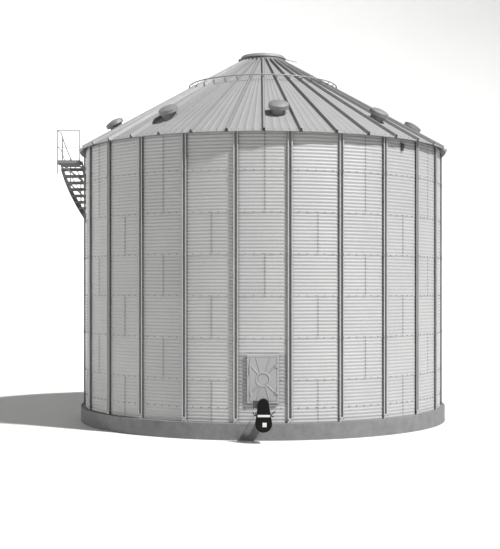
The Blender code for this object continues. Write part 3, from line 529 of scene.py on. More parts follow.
def foundation():
    """A turned profile with a worn round edge; its side swells by sums of slow sines in turn and
    height, under 2 mm, as a form of bent boards leaves it."""
    sides, edge = 720, 0.016
    profile = np.vstack([(2.0, 0.0), (5.2, 0.0), np.stack([np.full(14, BASE_R - 0.002),
                         np.linspace(0.0, BASE_Z - edge, 14)], -1),
                         rounded([(BASE_R - 0.002, BASE_Z - edge), (BASE_R - 0.002, BASE_Z),
                                  (BASE_R - edge, BASE_Z)], edge, 4)[2:],
                         (5.60, BASE_Z), (5.56, BASE_Z), (5.50, BASE_Z), (4.0, BASE_Z), (1.5, BASE_Z)])
    shape = lathe(np.vstack([(0.0, 0.0), profile, (0.0, BASE_Z)]), sides)
    points = shape[0].copy()
    radius = np.hypot(points[:, 0], points[:, 1])
    turn = np.arctan2(points[:, 1], points[:, 0])
    swell = (np.sin(36 * turn + 1.0) + np.sin(95 * turn + 9 * points[:, 2])
             + np.sin(211 * turn - 31 * points[:, 2])) * 0.0006
    side = (radius > 5.61) & (points[:, 2] > 0.01)
    points[:, :2] *= np.where(side, 1.0 + (swell - 0.0018) / BASE_R, 1.0)[:, None]
    top = (radius > 5.5) & (points[:, 2] > BASE_Z - 0.02)
    points[:, 2] -= np.where(top, 0.0012 * (1 + np.sin(61 * turn)) / 2, 0.0)
    put("concrete_base", (points, shape[1]), CONCRETE, replaces=["foundation"],
        smooth=50.0)


# Wall

def wall_radius(z):
    """Crest radius less half the depth times 1 - cos(2 pi z' / pitch), z' from the lowest crest."""
    inner_crest = CREST_R - 3 * LAP_RISE - 0.0001
    return inner_crest - DEPTH / 2 * (1.0 - np.cos(2 * np.pi * (z - WAVE_FOOT) / PITCH))


def sheet_starts(tier):
    """Turns where a tier's sheets start. The sheet over the door is twice as wide as the others."""
    starts = SEAM_SHIFT[tier - 1] + SHEET_DEG * (np.arange(SHEETS) - SHEETS / 2)
    return starts[starts != 0.0] if tier == 2 else starts


def wall_tier(tier, random):
    """A ring of corrugated sheets. Each sheet's radius is the corrugation, plus a rise towards its
    lapped end in turn and towards its lapped foot in height, so laps lie over one another."""
    rows = TIER_PITCHES * PITCH_ROWS
    heights = WAVE_FOOT + PITCH / PITCH_ROWS * np.arange(rows * (tier - 1) - 2, rows * tier + 2)
    heights = np.clip(heights, BASE_Z + 0.0003, WALL_TOP - 0.0003)
    door_turn = math.degrees(math.asin((DOOR_HALF + 0.0005) / CREST_R))
    cuts = {1: (DOOR_BOTTOM, HOLE[2], HOLE[3]), 2: (DOOR_TOP,)}.get(tier, ())
    heights = np.unique(np.concatenate([heights, cuts]))
    middle_z = (heights[:-1] + heights[1:]) / 2
    sheets, tones = [], []
    starts = sheet_starts(tier)
    for start, stop in zip(starts, np.append(starts[1:], starts[0] + 360.0) + LAP_DEG):
        posts = np.arange(7.5, 30.0, STIFFENER_STEP) + SHEET_DEG * np.arange(-12, 12)[:, None]
        posts = posts[(posts > start + 1.0) & (posts < stop - 1.0)]
        beside = (posts[:, None] + (-1.05, -0.74, 0.74, 1.05)).reshape(-1)
        turns = np.linspace(start, stop - 0.5, 8 * round((stop - start) / SHEET_DEG))
        turns = np.concatenate([turns, beside, (stop - 0.40, stop)])
        hole_turns = np.degrees(np.arcsin(np.array(HOLE[:2]) / CREST_R))
        sides = (-door_turn - 0.45, -door_turn, door_turn, door_turn + 0.45)
        extra = {1: (*sides, *hole_turns), 2: sides}.get(tier, ())
        turns = np.unique(np.concatenate([turns, [t for t in extra if start < t < stop]]))
        middle_turn = (turns[:-1] + turns[1:]) / 2
        rise = LAP_RISE * (turns - start) / (stop - start)
        drop = 2 * LAP_RISE * (heights[-1] - heights) / (heights[-1] - heights[0])
        radius = wall_radius(heights)[:, None] + rise + drop[:, None]
        front = polar(radius, turns, heights[:, None])
        back = polar(radius - SHEET_T, turns, heights[:, None])
        kept = np.ones((len(middle_z), len(middle_turn)), bool)
        if tier <= 2:
            in_door = (np.abs(middle_turn) < door_turn) & (middle_z[:, None] > DOOR_BOTTOM)
            kept &= ~(in_door & (middle_z[:, None] < DOOR_TOP))
            in_hole = (middle_turn > hole_turns[0]) & (middle_turn < hole_turns[1])
            low_hole = (middle_z[:, None] > HOLE[2]) & (middle_z[:, None] < HOLE[3])
            kept &= ~(in_hole & low_hole)
        sheets.append(plate(front, back, kept))
        shade = np.full(radius.shape, random.uniform(-0.025, 0.025))
        # Darker band along each sheet's lapped end: partly dirt held in the lap, partly painted shade of
        # the lap's edge.
        shade -= 0.24 * (turns > stop - 0.45)
        # Painted shade: the wall within 0.8 degrees of each stiffener, under its brims, is darkened.
        shade -= 0.42 * (np.abs((turns + 7.5) % STIFFENER_STEP - STIFFENER_STEP / 2) > 6.7)
        if tier <= 2:
            # Painted shade on the wall beside the door, out to the next stiffeners, deepest at the door's
            # edge.
            door_side_shade = 0.26 * (np.abs(turns) < 6.5) + 0.16 * (np.abs(np.abs(turns) - door_turn) < 0.1)
            level = (heights > DOOR_BOTTOM - 0.05) & (heights < DOOR_TOP + 0.02)
            shade -= door_side_shade * level[:, None]
        tones.append(np.concatenate([shade.reshape(-1)] * 2))
    put(f"wall_sheets_{tier}", joined(*sheets), WALL_ZINC,
        replaces=[f"wall_tier_{tier}"], smooth=50.0, tone=np.concatenate(tones))


def wall_bolts():
    """Bolts along each level seam, down each upright seam and along the base flashing."""
    clear = math.degrees(0.45 / CREST_R)
    level = (STIFFENER_STEP * np.arange(-12, 12)[:, None] + BAY_BOLTS).reshape(-1)
    rows = []
    for tier in range(1, 7):
        keep = level if tier != 1 else level[np.abs(level) > clear]
        rows.append(polar(CREST_R - 0.0005, keep, SEAMS[tier]))
    bolts("level_seam_bolts", np.vstack(rows), np.vstack(rows) * (1, 1, 0))
    rows = []
    for tier in range(1, 8):
        turns = sheet_starts(tier) + LAP_DEG / 2
        heights = WAVE_FOOT + PITCH * (TIER_PITCHES * (tier - 1) + np.arange(1, TIER_PITCHES))
        turn, z = (a.reshape(-1) for a in np.meshgrid(turns, heights))
        keep = (np.abs((turn + 180) % 360 - 180) > clear) | (z > DOOR_TOP + 0.03) | (z < DOOR_BOTTOM)
        rows.append(polar(CREST_R - 0.002, turn[keep], z[keep]))
    bolts("upright_seam_bolts", np.vstack(rows), np.vstack(rows) * (1, 1, 0))
    at = polar(CREST_R - 0.002, level, WAVE_FOOT + 4 * PITCH)
    bolts("flashing_bolts", at, at * (1, 1, 0), radius=0.013, washer=0.020)


def stiffener_line():
    """The folded section's outer line: a valley on the wall, and on each side of it a ridge that
    ends in an open brim with a short lip."""
    right = [(0.027, 0.0045), (0.035, RIDGE_H), (0.069, RIDGE_H), (0.0705, RIDGE_H - 0.010)]
    corners = [(-x, h) for x, h in reversed(right)] + right
    return rounded(corners, 0.006, 3)


def stiffeners():
    """Each stiffener is four lengths of the folded section; each upper length flares by one
    sheet at its foot and laps over the length below."""
    section = ribbon(stiffener_line(), STIFFENER_T)
    joints = [BASE_Z + 0.0005] + [SEAMS[k] + 0.05 for k in (2, 4, 6)] + [WALL_TOP - 0.001]
    # Painted shade: the tone below is -0.46 in the valley and low on the flanks, rising to +0.04 on the
    # ridge tops and brims.
    depth = np.tile(smooth_step((section[:, 1] - 0.012) / 0.036), 4 * (len(joints) - 1))
    heads, joint_heads = [], []
    for number in range(24):
        turn = STIFFENER_STEP * (number + 0.5)
        out, across = polar(1.0, turn), polar(1.0, turn + 90.0)
        lengths = []
        for level, (low, high) in enumerate(zip(joints, joints[1:])):
            lap = 0.10 if level else 0.0
            rows = np.array([low - lap, low - lap + 0.09, low - lap + 0.13, high])
            flare = np.array([1.0, 1.0, 0.0, 0.0]) * (STIFFENER_T + 0.0004 if level else 0.0)
            height = np.maximum(section[:, 1] + flare[:, None], 0.0004)
            wide = section[:, 0] * (1.0 + flare[:, None] / 0.0722)
            net = (out * (CREST_R + height)[..., None] + across * wide[..., None]
                   + np.array([0, 0, 1.0]) * rows[:, None, None])
            lengths.append(outward(grid(net, wrap_columns=True, caps=True)))
        put(f"stiffener_folded_{number + 1:02d}", joined(*lengths), POST_ZINC,
            replaces=[f"stiffener_{number + 1:02d}"], smooth=40.0, tone=0.50 * depth - 0.46)
        z = np.arange(WAVE_FOOT + 3 * PITCH, WALL_TOP - 0.05, 2 * PITCH)
        heads.append(out * (CREST_R + 0.0045) + np.array([0, 0, 1.0]) * z[:, None])
        for joint in joints[1:-1]:
            for side, drop in ((-0.049, 0.03), (0.049, 0.03), (-0.049, 0.075), (0.049, 0.075)):
                joint_heads.append((out * (CREST_R + RIDGE_H + STIFFENER_T) + across * side
                                    + (0, 0, joint - drop))[None])
    for name, rows, finish in (("stiffener_bolts", heads, BOLT_ZINC),
                               ("stiffener_joint_bolts", joint_heads, POST_ZINC)):
        at = np.vstack(rows)
        turn = np.round(np.degrees(np.arctan2(at[:, 0], -at[:, 1])) / STIFFENER_STEP - 0.5) + 0.5
        bolts(name, at, polar(1.0, turn * STIFFENER_STEP), finish)


def stiffener_feet():
    """At each foot an angle stands against the ridges, held down by an anchor stud and nut."""
    turns = STIFFENER_STEP * (np.arange(24) + 0.5)
    front = CREST_R + RIDGE_H + 0.0005
    plates, studs = [], []
    heel = angle_iron(0.062, 0.125, 0.006)
    for turn in turns:
        out, across = polar(1.0, turn), polar(1.0, turn + 90.0)
        base = out * front + (0, 0, BASE_Z + 0.0004)
        plates.append(prisms(base + across * 0.068, base - across * 0.068, heel))
        studs.append(base + out * 0.038 + (0, 0, 0.006))
    put("anchor_angles", joined(*plates), POST_ZINC, smooth=30.0, tone=0.12)
    bolts("anchor_nuts", np.vstack(studs), (0, 0, 1.0), radius=0.014, height=0.014, washer=0.022)
    out = polar(1.0, np.repeat(turns, 2))
    across = polar(1.0, np.repeat(turns, 2) + 90.0) * np.tile([-1.0, 1.0], 24)[:, None]
    at = out * (front + 0.006) + across * 0.045 + (0, 0, BASE_Z + 0.085)
    bolts("anchor_angle_bolts", at, out)


# Roof

def roof_height(along):
    """Height of a panel's middle plane at a distance from the axis in plan."""
    return ROOF_Z + (EAVE_U - along) * math.tan(SLOPE)


def roof_columns(along):
    """Across one panel at each row: sideways offsets and heights of the half ribs and three
    beads. A rib is a flat-topped fold; a bead is a raised cosine that narrows up the slope."""
    half = along[:, None] * math.tan(math.radians(PANEL_DEG / 2))
    fold = np.array([(0.0, 1.0), (0.012, 1.0), (0.0175, 0.985), (0.0205, 0.93), (0.0405, 0.09),
                     (0.0435, 0.02), (0.049, 0.0)])
    left = -half + fold[:, 0]
    flat = half - 0.049
    bead = np.minimum(0.024, 0.2 * flat)
    step = np.array([-1.0, -0.5, 0.0, 0.5, 1.0])
    lift = (1 + np.cos(np.pi * step)) / 2
    offsets, heights = [left], [np.repeat(fold[None, :, 1] * RIB_H, len(along), 0)]
    for centre in (-0.5, 0.0, 0.5):
        offsets.append(centre * flat + bead * step)
        heights.append(bead * 0.36 * lift)
    offsets.append(-left[:, ::-1])
    heights.append(heights[0][:, ::-1])
    return np.hstack(offsets)[:, :-1], np.hstack(heights)[:, :-1]


def roof_net(along, lower):
    """The roof's whole surface. A point is the panel plane's point, lifted along the normal at
    its own turn by the fold or bead, less `lower` for the underside."""
    offset, lift = roof_columns(along)
    turns = RIB_TURN + PANEL_DEG * (np.arange(PANELS) + 0.5)
    out, across = polar(1.0, turns), polar(1.0, turns + 90.0)
    place = (out[None, :, None] * along[:, None, None, None]
             + across[None, :, None] * offset[:, None, :, None])
    place = place + np.array([0, 0, 1.0]) * roof_height(along)[:, None, None, None]
    own = turns[None, :, None] + np.degrees(np.arctan2(offset, along[:, None]))[:, None, :]
    normal = polar(math.sin(SLOPE), own, math.cos(SLOPE))
    net = place + normal * (lift[:, None, :, None] - lower)
    return net.reshape(len(along), -1, 3)


def rib_flank_shade(along):
    """Painted shade on the flanks of the ribs, for both sides of the sheet."""
    offset, lift = roof_columns(along)
    edge = along[:, None] * math.tan(math.radians(PANEL_DEG / 2)) - np.abs(offset)
    flank = smooth_step((edge - 0.015) / 0.004) * smooth_step((0.046 - edge) / 0.004)
    return np.tile((-0.30 * flank)[:, None, :], (2, PANELS, 1)).reshape(-1)


def roof():
    """The folded sheet, its turned-down lip between the ribs and the bolts along the eave."""
    along = np.concatenate([EAVE_U - np.array([0.0, 0.02, 0.06]), np.linspace(5.4, 1.0, 11),
                            [0.85, ROOF_TOP_R + 0.001]])
    put("roof_sheets", plate(roof_net(along, 0.0), roof_net(along, ROOF_SHEET_T), wrap=True),
        ROOF_ZINC, replaces=["roof"], smooth=28.0, tone=rib_flank_shade(along))
    turns = RIB_TURN + PANEL_DEG * (np.arange(PANELS) + 0.5)
    out, across = polar(1.0, turns), polar(1.0, turns + 90.0)
    half = EAVE_U * math.tan(math.radians(PANEL_DEG / 2)) - 0.047
    run = math.cos(SLOPE) * 0.03
    line = np.array([(-run, math.sin(SLOPE) * 0.03), (0.0, 0.0), (0.0, -0.010), (-0.006, -0.014)])
    section = ribbon(rounded(line, 0.003, 2), 0.0015) - (0.0012, 0.0025)
    middle = out * EAVE_U + (0, 0, ROOF_Z)
    lips = []
    for start, stop in zip(middle - across * half, middle + across * half):
        lips.append(prisms(start, stop, section))
    put("eave_lips", joined(*lips), ROOF_ZINC, smooth=40.0)
    side = np.linspace(-0.38, 0.38, 5)
    up_slope = EAVE_U - 0.10
    at = (out[:, None] * up_slope + across[:, None] * side[:, None]).reshape(-1, 3)
    at += (0, 0, roof_height(up_slope))
    normal = polar(math.sin(SLOPE), np.repeat(turns, 5), math.cos(SLOPE))
    bolts("roof_bolts", at, normal)


def eave():
    """A rolled angle under the eave: an upright leg round the wall's top, a lower lip, and the
    bracket that shows on the right."""
    top = roof_height(CREST_R / math.cos(math.radians(3.75))) - 0.016
    line = [(CREST_R - 0.05, top), (CREST_R - 0.002, top - 0.004), (CREST_R - 0.002, WALL_TOP - 0.004)]
    section = ribbon(rounded(line, 0.008, 3), 0.004)
    # Painted shade: tone -0.40 darkens the whole angle, for the dark line under the eave's lip.
    put("eave_angle", lathe(section, 360), DULL_ZINC, replaces=["eave_ring"],
        smooth=35.0, tone=-0.40)
    face = -(CREST_R + 0.0003)
    plates = joined(block((-0.060, face - 0.008, 7.875), (0.075, face, 8.06), 0.004),
                    block((-0.075, face - 0.060, 8.048), (0.060, face, 8.06), 0.004),
                    block((-0.030, face - 0.088, 7.93), (0.020, face - 0.004, 7.940), 0.004),
                    block((-0.030, face - 0.086, 7.93), (0.020, face - 0.078, 8.05), 0.003))
    put("eave_bracket", turned(plates, EAVE_BRACKET_TURN), GREY)
    at = np.array([(x, face - 0.008, z) for x in (-0.045, 0.060) for z in (7.90, 8.02)])
    heads = turned((at, []), EAVE_BRACKET_TURN)[0]
    bolts("eave_bracket_bolts", heads, polar(1.0, EAVE_BRACKET_TURN))


def roof_vents():
    """A turned profile each: base flange, neck, drip edge and a domed cap with a rolled rim."""
    profile = [(0, 0.0), (0.245, 0.0), (0.245, 0.003), (0.205, 0.005), (0.197, 0.011),
               (0.195, 0.020), (0.195, 0.138), (0.203, 0.142), (0.203, 0.148), (0.195, 0.152),
               (0.195, 0.172), (0.266, 0.170), (0.271, 0.163), (0.278, 0.163), (0.280, 0.168),
               (0.280, 0.178), (0.2765, 0.184), (0.2765, 0.262), (0.273, 0.274), (0.262, 0.282),
               (0.20, 0.307), (0.10, 0.330), (0.03, 0.339), (0, 0.34)]
    cap = lathe(profile, 48)
    strap = block((0.1955, -0.015, 0.004), (0.2, 0.015, 0.17), 0.002)
    straps = joined(*[turned(strap, turn) for turn in (30, 120, 210, 300)])
    stud_turn = np.radians(np.arange(0, 360, 45.0))
    around = np.stack([np.cos(stud_turn), np.sin(stud_turn), 0 * stud_turn], -1)
    studs = copies(hex_bolt(0.006, 0.004, 0.008), frames(around * 0.2765 + (0, 0, 0.222), around))
    feet = copies(hex_bolt(0.008, 0.006, 0.012),
                  frames(around * 0.226 + (0, 0, 0.004), (0, 0, 1.0), (0, 1.0, 0)))
    for number in range(VENT_COUNT):
        turn = VENT_TURN + number * 360.0 / VENT_COUNT
        normal = polar(math.sin(SLOPE), turn, math.cos(SLOPE))
        seat = polar(VENT_R, turn, roof_height(VENT_R)) + normal * 0.0004
        place = frames(seat, normal)
        put(f"vent_cap_{number + 1}", copies(joined(cap, straps), place), VENT_ZINC,
            replaces=[f"roof_vent_{number + 1}"], smooth=35.0)
        put(f"vent_fixings_{number + 1}", copies(joined(studs, feet), place), BOLT_ZINC,
            smooth=25.0)


def safety_ring():
    """A pipe bent to a circle on a round stand-off with a foot plate at every rib."""
    turns = RIB_TURN + PANEL_DEG * np.arange(PANELS)
    pipe = sweep(polar(RING_R, np.arange(0, 360, 2.0), RING_Z), disc(RING_TUBE_R, 12), closed=True)
    slope = math.cos(math.radians(PANEL_DEG / 2)) * math.tan(SLOPE)
    normal = unit(polar(slope, turns, 1.0))
    sheet = roof_height(RING_R * math.cos(math.radians(PANEL_DEG / 2)))
    reach = (RING_Z - sheet) / math.sqrt(1 + slope * slope) - RIB_H
    top = polar(RING_R, turns, RING_Z)
    foot = top - normal * (reach - 0.0006)
    legs = prisms(foot, top - normal * 0.010, disc(0.010, 8), up=(0.3, 0.1, 0.9))
    pads = prisms(foot, foot + normal * 0.006, rectangle(0.036, 0.085, 0.006),
                  up=polar(1.0, turns))
    put("safety_rail", joined(pipe, legs, pads), DULL_ZINC,
        replaces=["safety_ring"], smooth=40.0)
    down = unit(polar(1.0, turns, -slope))
    at = np.vstack([foot + normal * 0.006 + down * s for s in (-0.03, 0.03)])
    bolts("safety_rail_bolts", at, np.vstack([normal, normal]), radius=0.007, washer=0.010)


def peak():
    """The collar ring with its rolled top, the hinge cheeks and pin, and the domed lid with its
    strap and lever; each round part is a turned profile."""
    low, top = 10.98, LID_Z - 0.0005
    band = [(COLLAR_R, low), (COLLAR_R, top - 0.012), (COLLAR_R - 0.006, top), (COLLAR_R - 0.018, top),
            (COLLAR_R - 0.022, top - 0.01), (COLLAR_R - 0.008, top - 0.02), (COLLAR_R - 0.008, low)]
    ring = lathe(band, 144)
    cheeks = []
    for side in (-1, 1):
        y0, y1 = sorted((side * 0.060, side * 0.072))
        for low_z, end in ((11.135, (-COLLAR_R + 0.012, y1, LID_Z - 0.001)),
                           (11.15, (-LID_R - 0.005, y1, LID_Z + 0.019))):
            cheeks.append(block((LID_AXIS_X - 0.018, y0, low_z), end, 0.003))
    pin_z = LID_Z + 0.006
    pin = prisms((LID_AXIS_X, -0.078, pin_z), (LID_AXIS_X, 0.078, pin_z), disc(0.0078, 16))
    # Painted shade: tone -0.50 darkens the collar, cheeks and pin, for the shade under the lid's rim.
    put("peak_ring", joined(ring, *cheeks, pin), DULL_ZINC,
        replaces=["peak_collar"], smooth=35.0, tone=-0.50)
    curve = ((1.0, 0.0), (1.0, 0.012), (0.990, 0.020), (0.965, 0.060), (0.938, 0.090), (0.915, 0.099),
             (0.84, 0.112), (0.62, 0.130), (0.42, 0.140), (0.20, 0.150), (0.0, 0.155))
    outer = [(part * LID_R, LID_Z + rise) for part, rise in curve]
    inner = [(max(r - 0.003, 0.0), z - 0.003) for r, z in outer[1:]]
    dome = lathe(outer[::-1] + [(LID_R - 0.004, LID_Z)] + inner, 96)
    strap_low = LID_Z + 0.006 + 0.0083
    strap = block((LID_AXIS_X - 0.018, -0.050, strap_low),
                  (-0.925 * LID_R, 0.050, strap_low + 0.007), 0.003)
    lever = sweep(rounded([(0.93 * LID_R, 0.0, LID_Z + 0.085), (0.99 * LID_R, 0.0, LID_Z + 0.050),
                           (1.05 * LID_R, 0.0, LID_Z + 0.014), LEVER_END], 0.03, 4), disc(0.0115, 10),
                  up=(0.0, 1.0, 0.0))
    put("lid_dome", joined(dome, strap, lever), ROOF_ZINC, body="lid",
        replaces=["peak_lid"], smooth=38.0, tone=-0.20)


# Walk-in door

def frame_loop(profile):
    """A mitred frame: the door's outer rectangle drawn in by each profile point's inset, at its
    depth."""
    corners = np.array([(-1, 0), (1, 0), (1, 1), (-1, 1)], float)
    rings = []
    for inset, y in profile:
        x = corners[:, 0] * (DOOR_HALF - inset)
        z = np.where(corners[:, 1] > 0, DOOR_TOP - inset, DOOR_BOTTOM + inset)
        rings.append(np.stack([x, np.full(4, y), z], -1))
    return outward(grid(np.array(rings), wrap_rows=True, wrap_columns=True))


def door_frame():
    """The frame through the wall, a drip strip over it, hinge lugs with their pins, and bolts."""
    line = [(0.0, FRAME_BACK), (0.0, FRAME_FRONT + 0.004), (0.004, FRAME_FRONT),
            (0.045, FRAME_FRONT), (0.0495, FRAME_FRONT + 0.004), (0.0495, FRAME_BACK)]
    shapes = [frame_loop(line)]
    drip = [(0.0, 0.012), (0.0, 0.0), (0.034, -0.006), (0.034, -0.016)]
    strip = ribbon(rounded(drip, 0.004, 2), 0.002)
    shapes.append(prisms((-0.46, -5.5, DOOR_TOP + 0.022), (0.46, -5.5, DOOR_TOP + 0.022), strip))
    for z in HINGE_HEIGHTS:
        for side in (-1, 1):
            low, high = sorted((z + side * 0.046, z + side * 0.058))
            shapes.append(block((HINGE_X - 0.004, HINGE_Y - 0.008, low),
                                (HINGE_X + 0.024, FRAME_FRONT + 0.008, high), 0.003))
        shapes.append(prisms((HINGE_X, HINGE_Y, z - 0.062), (HINGE_X, HINGE_Y, z + 0.062),
                             disc(HINGE_PIN_R - 0.0002, 16), up=(0, 1.0, 0)))
    put("door_surround", joined(*shapes), DOOR_ZINC, replaces=["door_frame"],
        smooth=30.0, tone=0.10)
    z = np.linspace(DOOR_BOTTOM + 0.06, DOOR_TOP - 0.06, 8)
    x = np.linspace(-DOOR_HALF + 0.10, DOOR_HALF - 0.10, 5)
    inset = 0.0165
    rows = [np.stack([np.full(len(z), -DOOR_HALF + inset), 0 * z, z], -1),
            np.stack([x, 0 * x, np.full(len(x), DOOR_TOP - inset)], -1),
            np.stack([x, 0 * x, np.full(len(x), DOOR_BOTTOM + inset)], -1)]
    at = np.vstack(rows) + (0, FRAME_FRONT, 0)
    bolts("door_surround_bolts", at, (0, -1.0, 0), DOOR_ZINC, slot="door_steel", radius=0.006,
          height=0.004, washer=0.009)


def press_height(x, z):
    """Relief of the pressed leaf: a flat-topped ring, and eight creases that run out from it.
    Each is a smooth step of the distance to a circle or to a straight stretch."""
    ring_x, ring_z, ring_r = PRESS_RING
    radius = np.hypot(x - ring_x, z - ring_z)
    height = 0.0115 * smooth_step((0.032 - np.abs(radius - ring_r)) / 0.012)
    height -= 0.003 * smooth_step((0.142 - radius) / 0.008)
    creases = ((0.182, 2.178, 0.069, 1.785), (0.302, 1.953, 0.140, 1.768),
               (0.288, 1.290, 0.126, 1.451), (0.168, 1.056, 0.069, 1.425))
    for x0, z0, x1, z1 in creases:
        run = np.array([x1 - x0, z1 - z0])
        t = np.clip(((np.abs(x) - x0) * run[0] + (z - z0) * run[1]) / (run @ run), 0.0, 1.0)
        away = np.hypot(np.abs(x) - x0 - t * run[0], z - z0 - t * run[1])
        height = np.maximum(height, 0.011 * smooth_step((0.022 - away) / 0.012))
    return height


def folded_edge(values, low, high, radius=0.006):
    """Carries a straight line over two rounded edges: returns the place along and the depth
    back, from a quarter circle and then a straight fall past each edge."""
    middle, half = (low + high) / 2, (high - low) / 2 - radius
    past = np.abs(values - middle) - half
    bend = np.clip(past / radius, 0.0, np.pi / 2)
    along = np.where(past > 0, half + radius * np.sin(bend), np.abs(values - middle))
    depth = radius * (1 - np.cos(bend)) + np.maximum(past - radius * np.pi / 2, 0.0)
    return middle + np.sign(values - middle) * along, np.where(past > 0, depth, 0.0)


def walk_in_door():
    """The leaf: a pressed front sheet folded back all round, a flat liner behind it, hinge
    straps on its right edge, and two latches on its left."""
    fold = LEAF_BACK - LEAF_FRONT - 0.002
    over = fold + 0.0045
    rim = np.array([0.0, 0.35, 0.7, 1.0])[::-1] * over
    flat_x = np.linspace(-LEAF_HALF + 0.004, LEAF_HALF - 0.004, 104)
    flat_z = np.linspace(LEAF_Z[0] + 0.004, LEAF_Z[1] - 0.004, 164)
    spread_x = np.concatenate([-LEAF_HALF - rim, flat_x, LEAF_HALF + rim[::-1]])
    spread_z = np.concatenate([LEAF_Z[0] - rim, flat_z, LEAF_Z[1] + rim[::-1]])
    nets, tones = [], []
    for inset in (0.0, 0.0018):
        x, back_x = folded_edge(spread_x, -LEAF_HALF + inset, LEAF_HALF - inset)
        z, back_z = folded_edge(spread_z, LEAF_Z[0] + inset, LEAF_Z[1] - inset)
        wide, tall = np.meshgrid(x, z)
        depth = np.minimum(np.maximum(back_x[None, :], back_z[:, None]), fold)
        relief = press_height(wide, tall)
        nets.append(np.stack([wide, LEAF_FRONT + inset + depth - relief, tall], -1))
        # Painted light and shade: raised tops a little lighter, crease and ring flanks darker by their
        # slope, an 18 mm band round the edge darker where the frame shades it, and the ring's inner
        # channel darker.
        edge = np.minimum(LEAF_HALF - np.abs(wide), np.minimum(tall - LEAF_Z[0], LEAF_Z[1] - tall))
        steep = np.hypot(np.diff(relief, axis=1, prepend=0.0),
                         np.diff(relief, axis=0, prepend=0.0)) / 0.006
        ring_groove_shade = np.abs(np.hypot(wide - PRESS_RING[0], tall - PRESS_RING[1]) - 0.145) < 0.008
        tones.append(0.06 * (relief > 0.008) - 0.34 * np.clip(steep, 0.0, 1.0) - 0.20 * (edge < 0.018)
                     - 0.30 * ring_groove_shade)
    put("door_leaf", plate(*nets), DOOR_ZINC, body="door", replaces=["walk_in_door"],
        smooth=32.0, tone=np.concatenate([tone.reshape(-1) for tone in tones]))
    liner = block((-LEAF_HALF + 0.0025, LEAF_BACK - 0.003, LEAF_Z[0] + 0.0025),
                  (LEAF_HALF - 0.0025, LEAF_BACK, LEAF_Z[1] - 0.0025), 0.0)
    put("door_liner", liner, DOOR_ZINC, body="door")
    outside = HINGE_Y - HINGE_PIN_R - 0.0003
    parts, heads = [], []
    for z in HINGE_HEIGHTS:
        front, foot = outside - 0.006, z - 0.042
        parts.append(block((0.322, front, foot), (0.356, LEAF_FRONT + 0.001, z + 0.042), 0.004))
        parts.append(block((0.34, front, foot), (HINGE_X + 0.004, outside, z + 0.042), 0.002))
        heads += [(0.336, outside - 0.006, z - 0.022), (0.336, outside - 0.006, z + 0.022)]
    for x0, x1, z0, z1 in ((-0.360, -0.324, 1.757, 2.043), (-0.352, -0.290, 1.187, 1.304)):
        parts.append(block((x0, LEAF_FRONT - 0.012, z0), (x1, LEAF_FRONT + 0.001, z1), 0.006))
        grip = rounded([((x0 + x1) / 2, LEAF_FRONT - 0.010, z0 + 0.012),
                        ((x0 + x1) / 2, LEAF_FRONT - 0.026, z0 + 0.020),
                        ((x0 + x1) / 2, LEAF_FRONT - 0.026, z1 - 0.020),
                        ((x0 + x1) / 2, LEAF_FRONT - 0.010, z1 - 0.012)], 0.008, 4)
        parts.append(sweep(grip, disc(0.004, 8), up=(1.0, 0.0, 0.0)))
    put("door_hardware", joined(*parts), DOOR_ZINC, body="door", smooth=30.0, tone=0.16)
    bolts("door_hardware_bolts", np.array(heads), (0, -1.0, 0), DOOR_ZINC, slot="door_steel",
          body="door", radius=0.006, height=0.004, washer=0.008)


# Unloading auger

def pear(inset, steps=22):
    """The guard's outline drawn in by `inset`: two arcs about fixed centres with their common
    tangents between."""
    low_x, low_z, low_r = GUARD_LOW
    high_x, high_z, high_r = GUARD_HIGH
    lean = math.asin((low_r - high_r) / (high_z - low_z))
    top = np.linspace(lean, np.pi - lean, steps)
    low = np.linspace(np.pi - lean, 2 * np.pi + lean, steps + 8)
    upper = (high_x, high_z) + (high_r - inset) * np.stack([np.cos(top), np.sin(top)], -1)
    lower = (low_x, low_z) + (low_r - inset) * np.stack([np.cos(low), np.sin(low)], -1)
    return np.vstack([upper, lower])


def belt_guard():
    """Two pressed halves: the pear outline drawn in by a profile of insets from back to front,
    with a seam flange between the halves and a raised panel on the front."""
    front = GUARD_BACK - GUARD_T + 0.0045
    steps = rounded([(0.012, GUARD_BACK), (0.012, GUARD_BACK - 0.028), (0.0, GUARD_BACK - 0.030),
                     (0.0, GUARD_BACK - 0.038), (0.012, GUARD_BACK - 0.040), (0.012, front + 0.004),
                     (0.040, front + 0.004), (0.052, front), (0.060, front)], 0.009, 3)
    rings = []
    for inset, y in steps:
        outline = pear(inset)
        rings.append(np.stack([outline[:, 0], np.full(len(outline), y), outline[:, 1]], -1))
    put("guard_shell", outward(grid(np.array(rings), wrap_columns=True, caps=True)), BLACK,
        replaces=["belt_guard"], smooth=35.0)
    edge = pear(0.007, 8)[::2]
    at = np.stack([edge[:, 0], np.full(len(edge), GUARD_BACK - 0.040), edge[:, 1]], -1)
    bolts("guard_bolts", at, (0, -1.0, 0), radius=0.005, height=0.004, washer=0.006)


def guard_plates():
    """A plain pale band across the guard and a plain square cover plate below it."""
    y = GUARD_BACK - GUARD_T + 0.0018
    band = prisms((-0.134, y, 0.7285), (0.186, y, 0.7285), rectangle(0.0036, 0.057, 0.001))
    cover = prisms((-0.010, y, 0.498), (0.096, y, 0.498), rectangle(0.0036, 0.113, 0.001))
    put("guard_band", band, PALE, smooth=30.0)
    put("guard_cover_plate", cover, PALE, smooth=30.0)


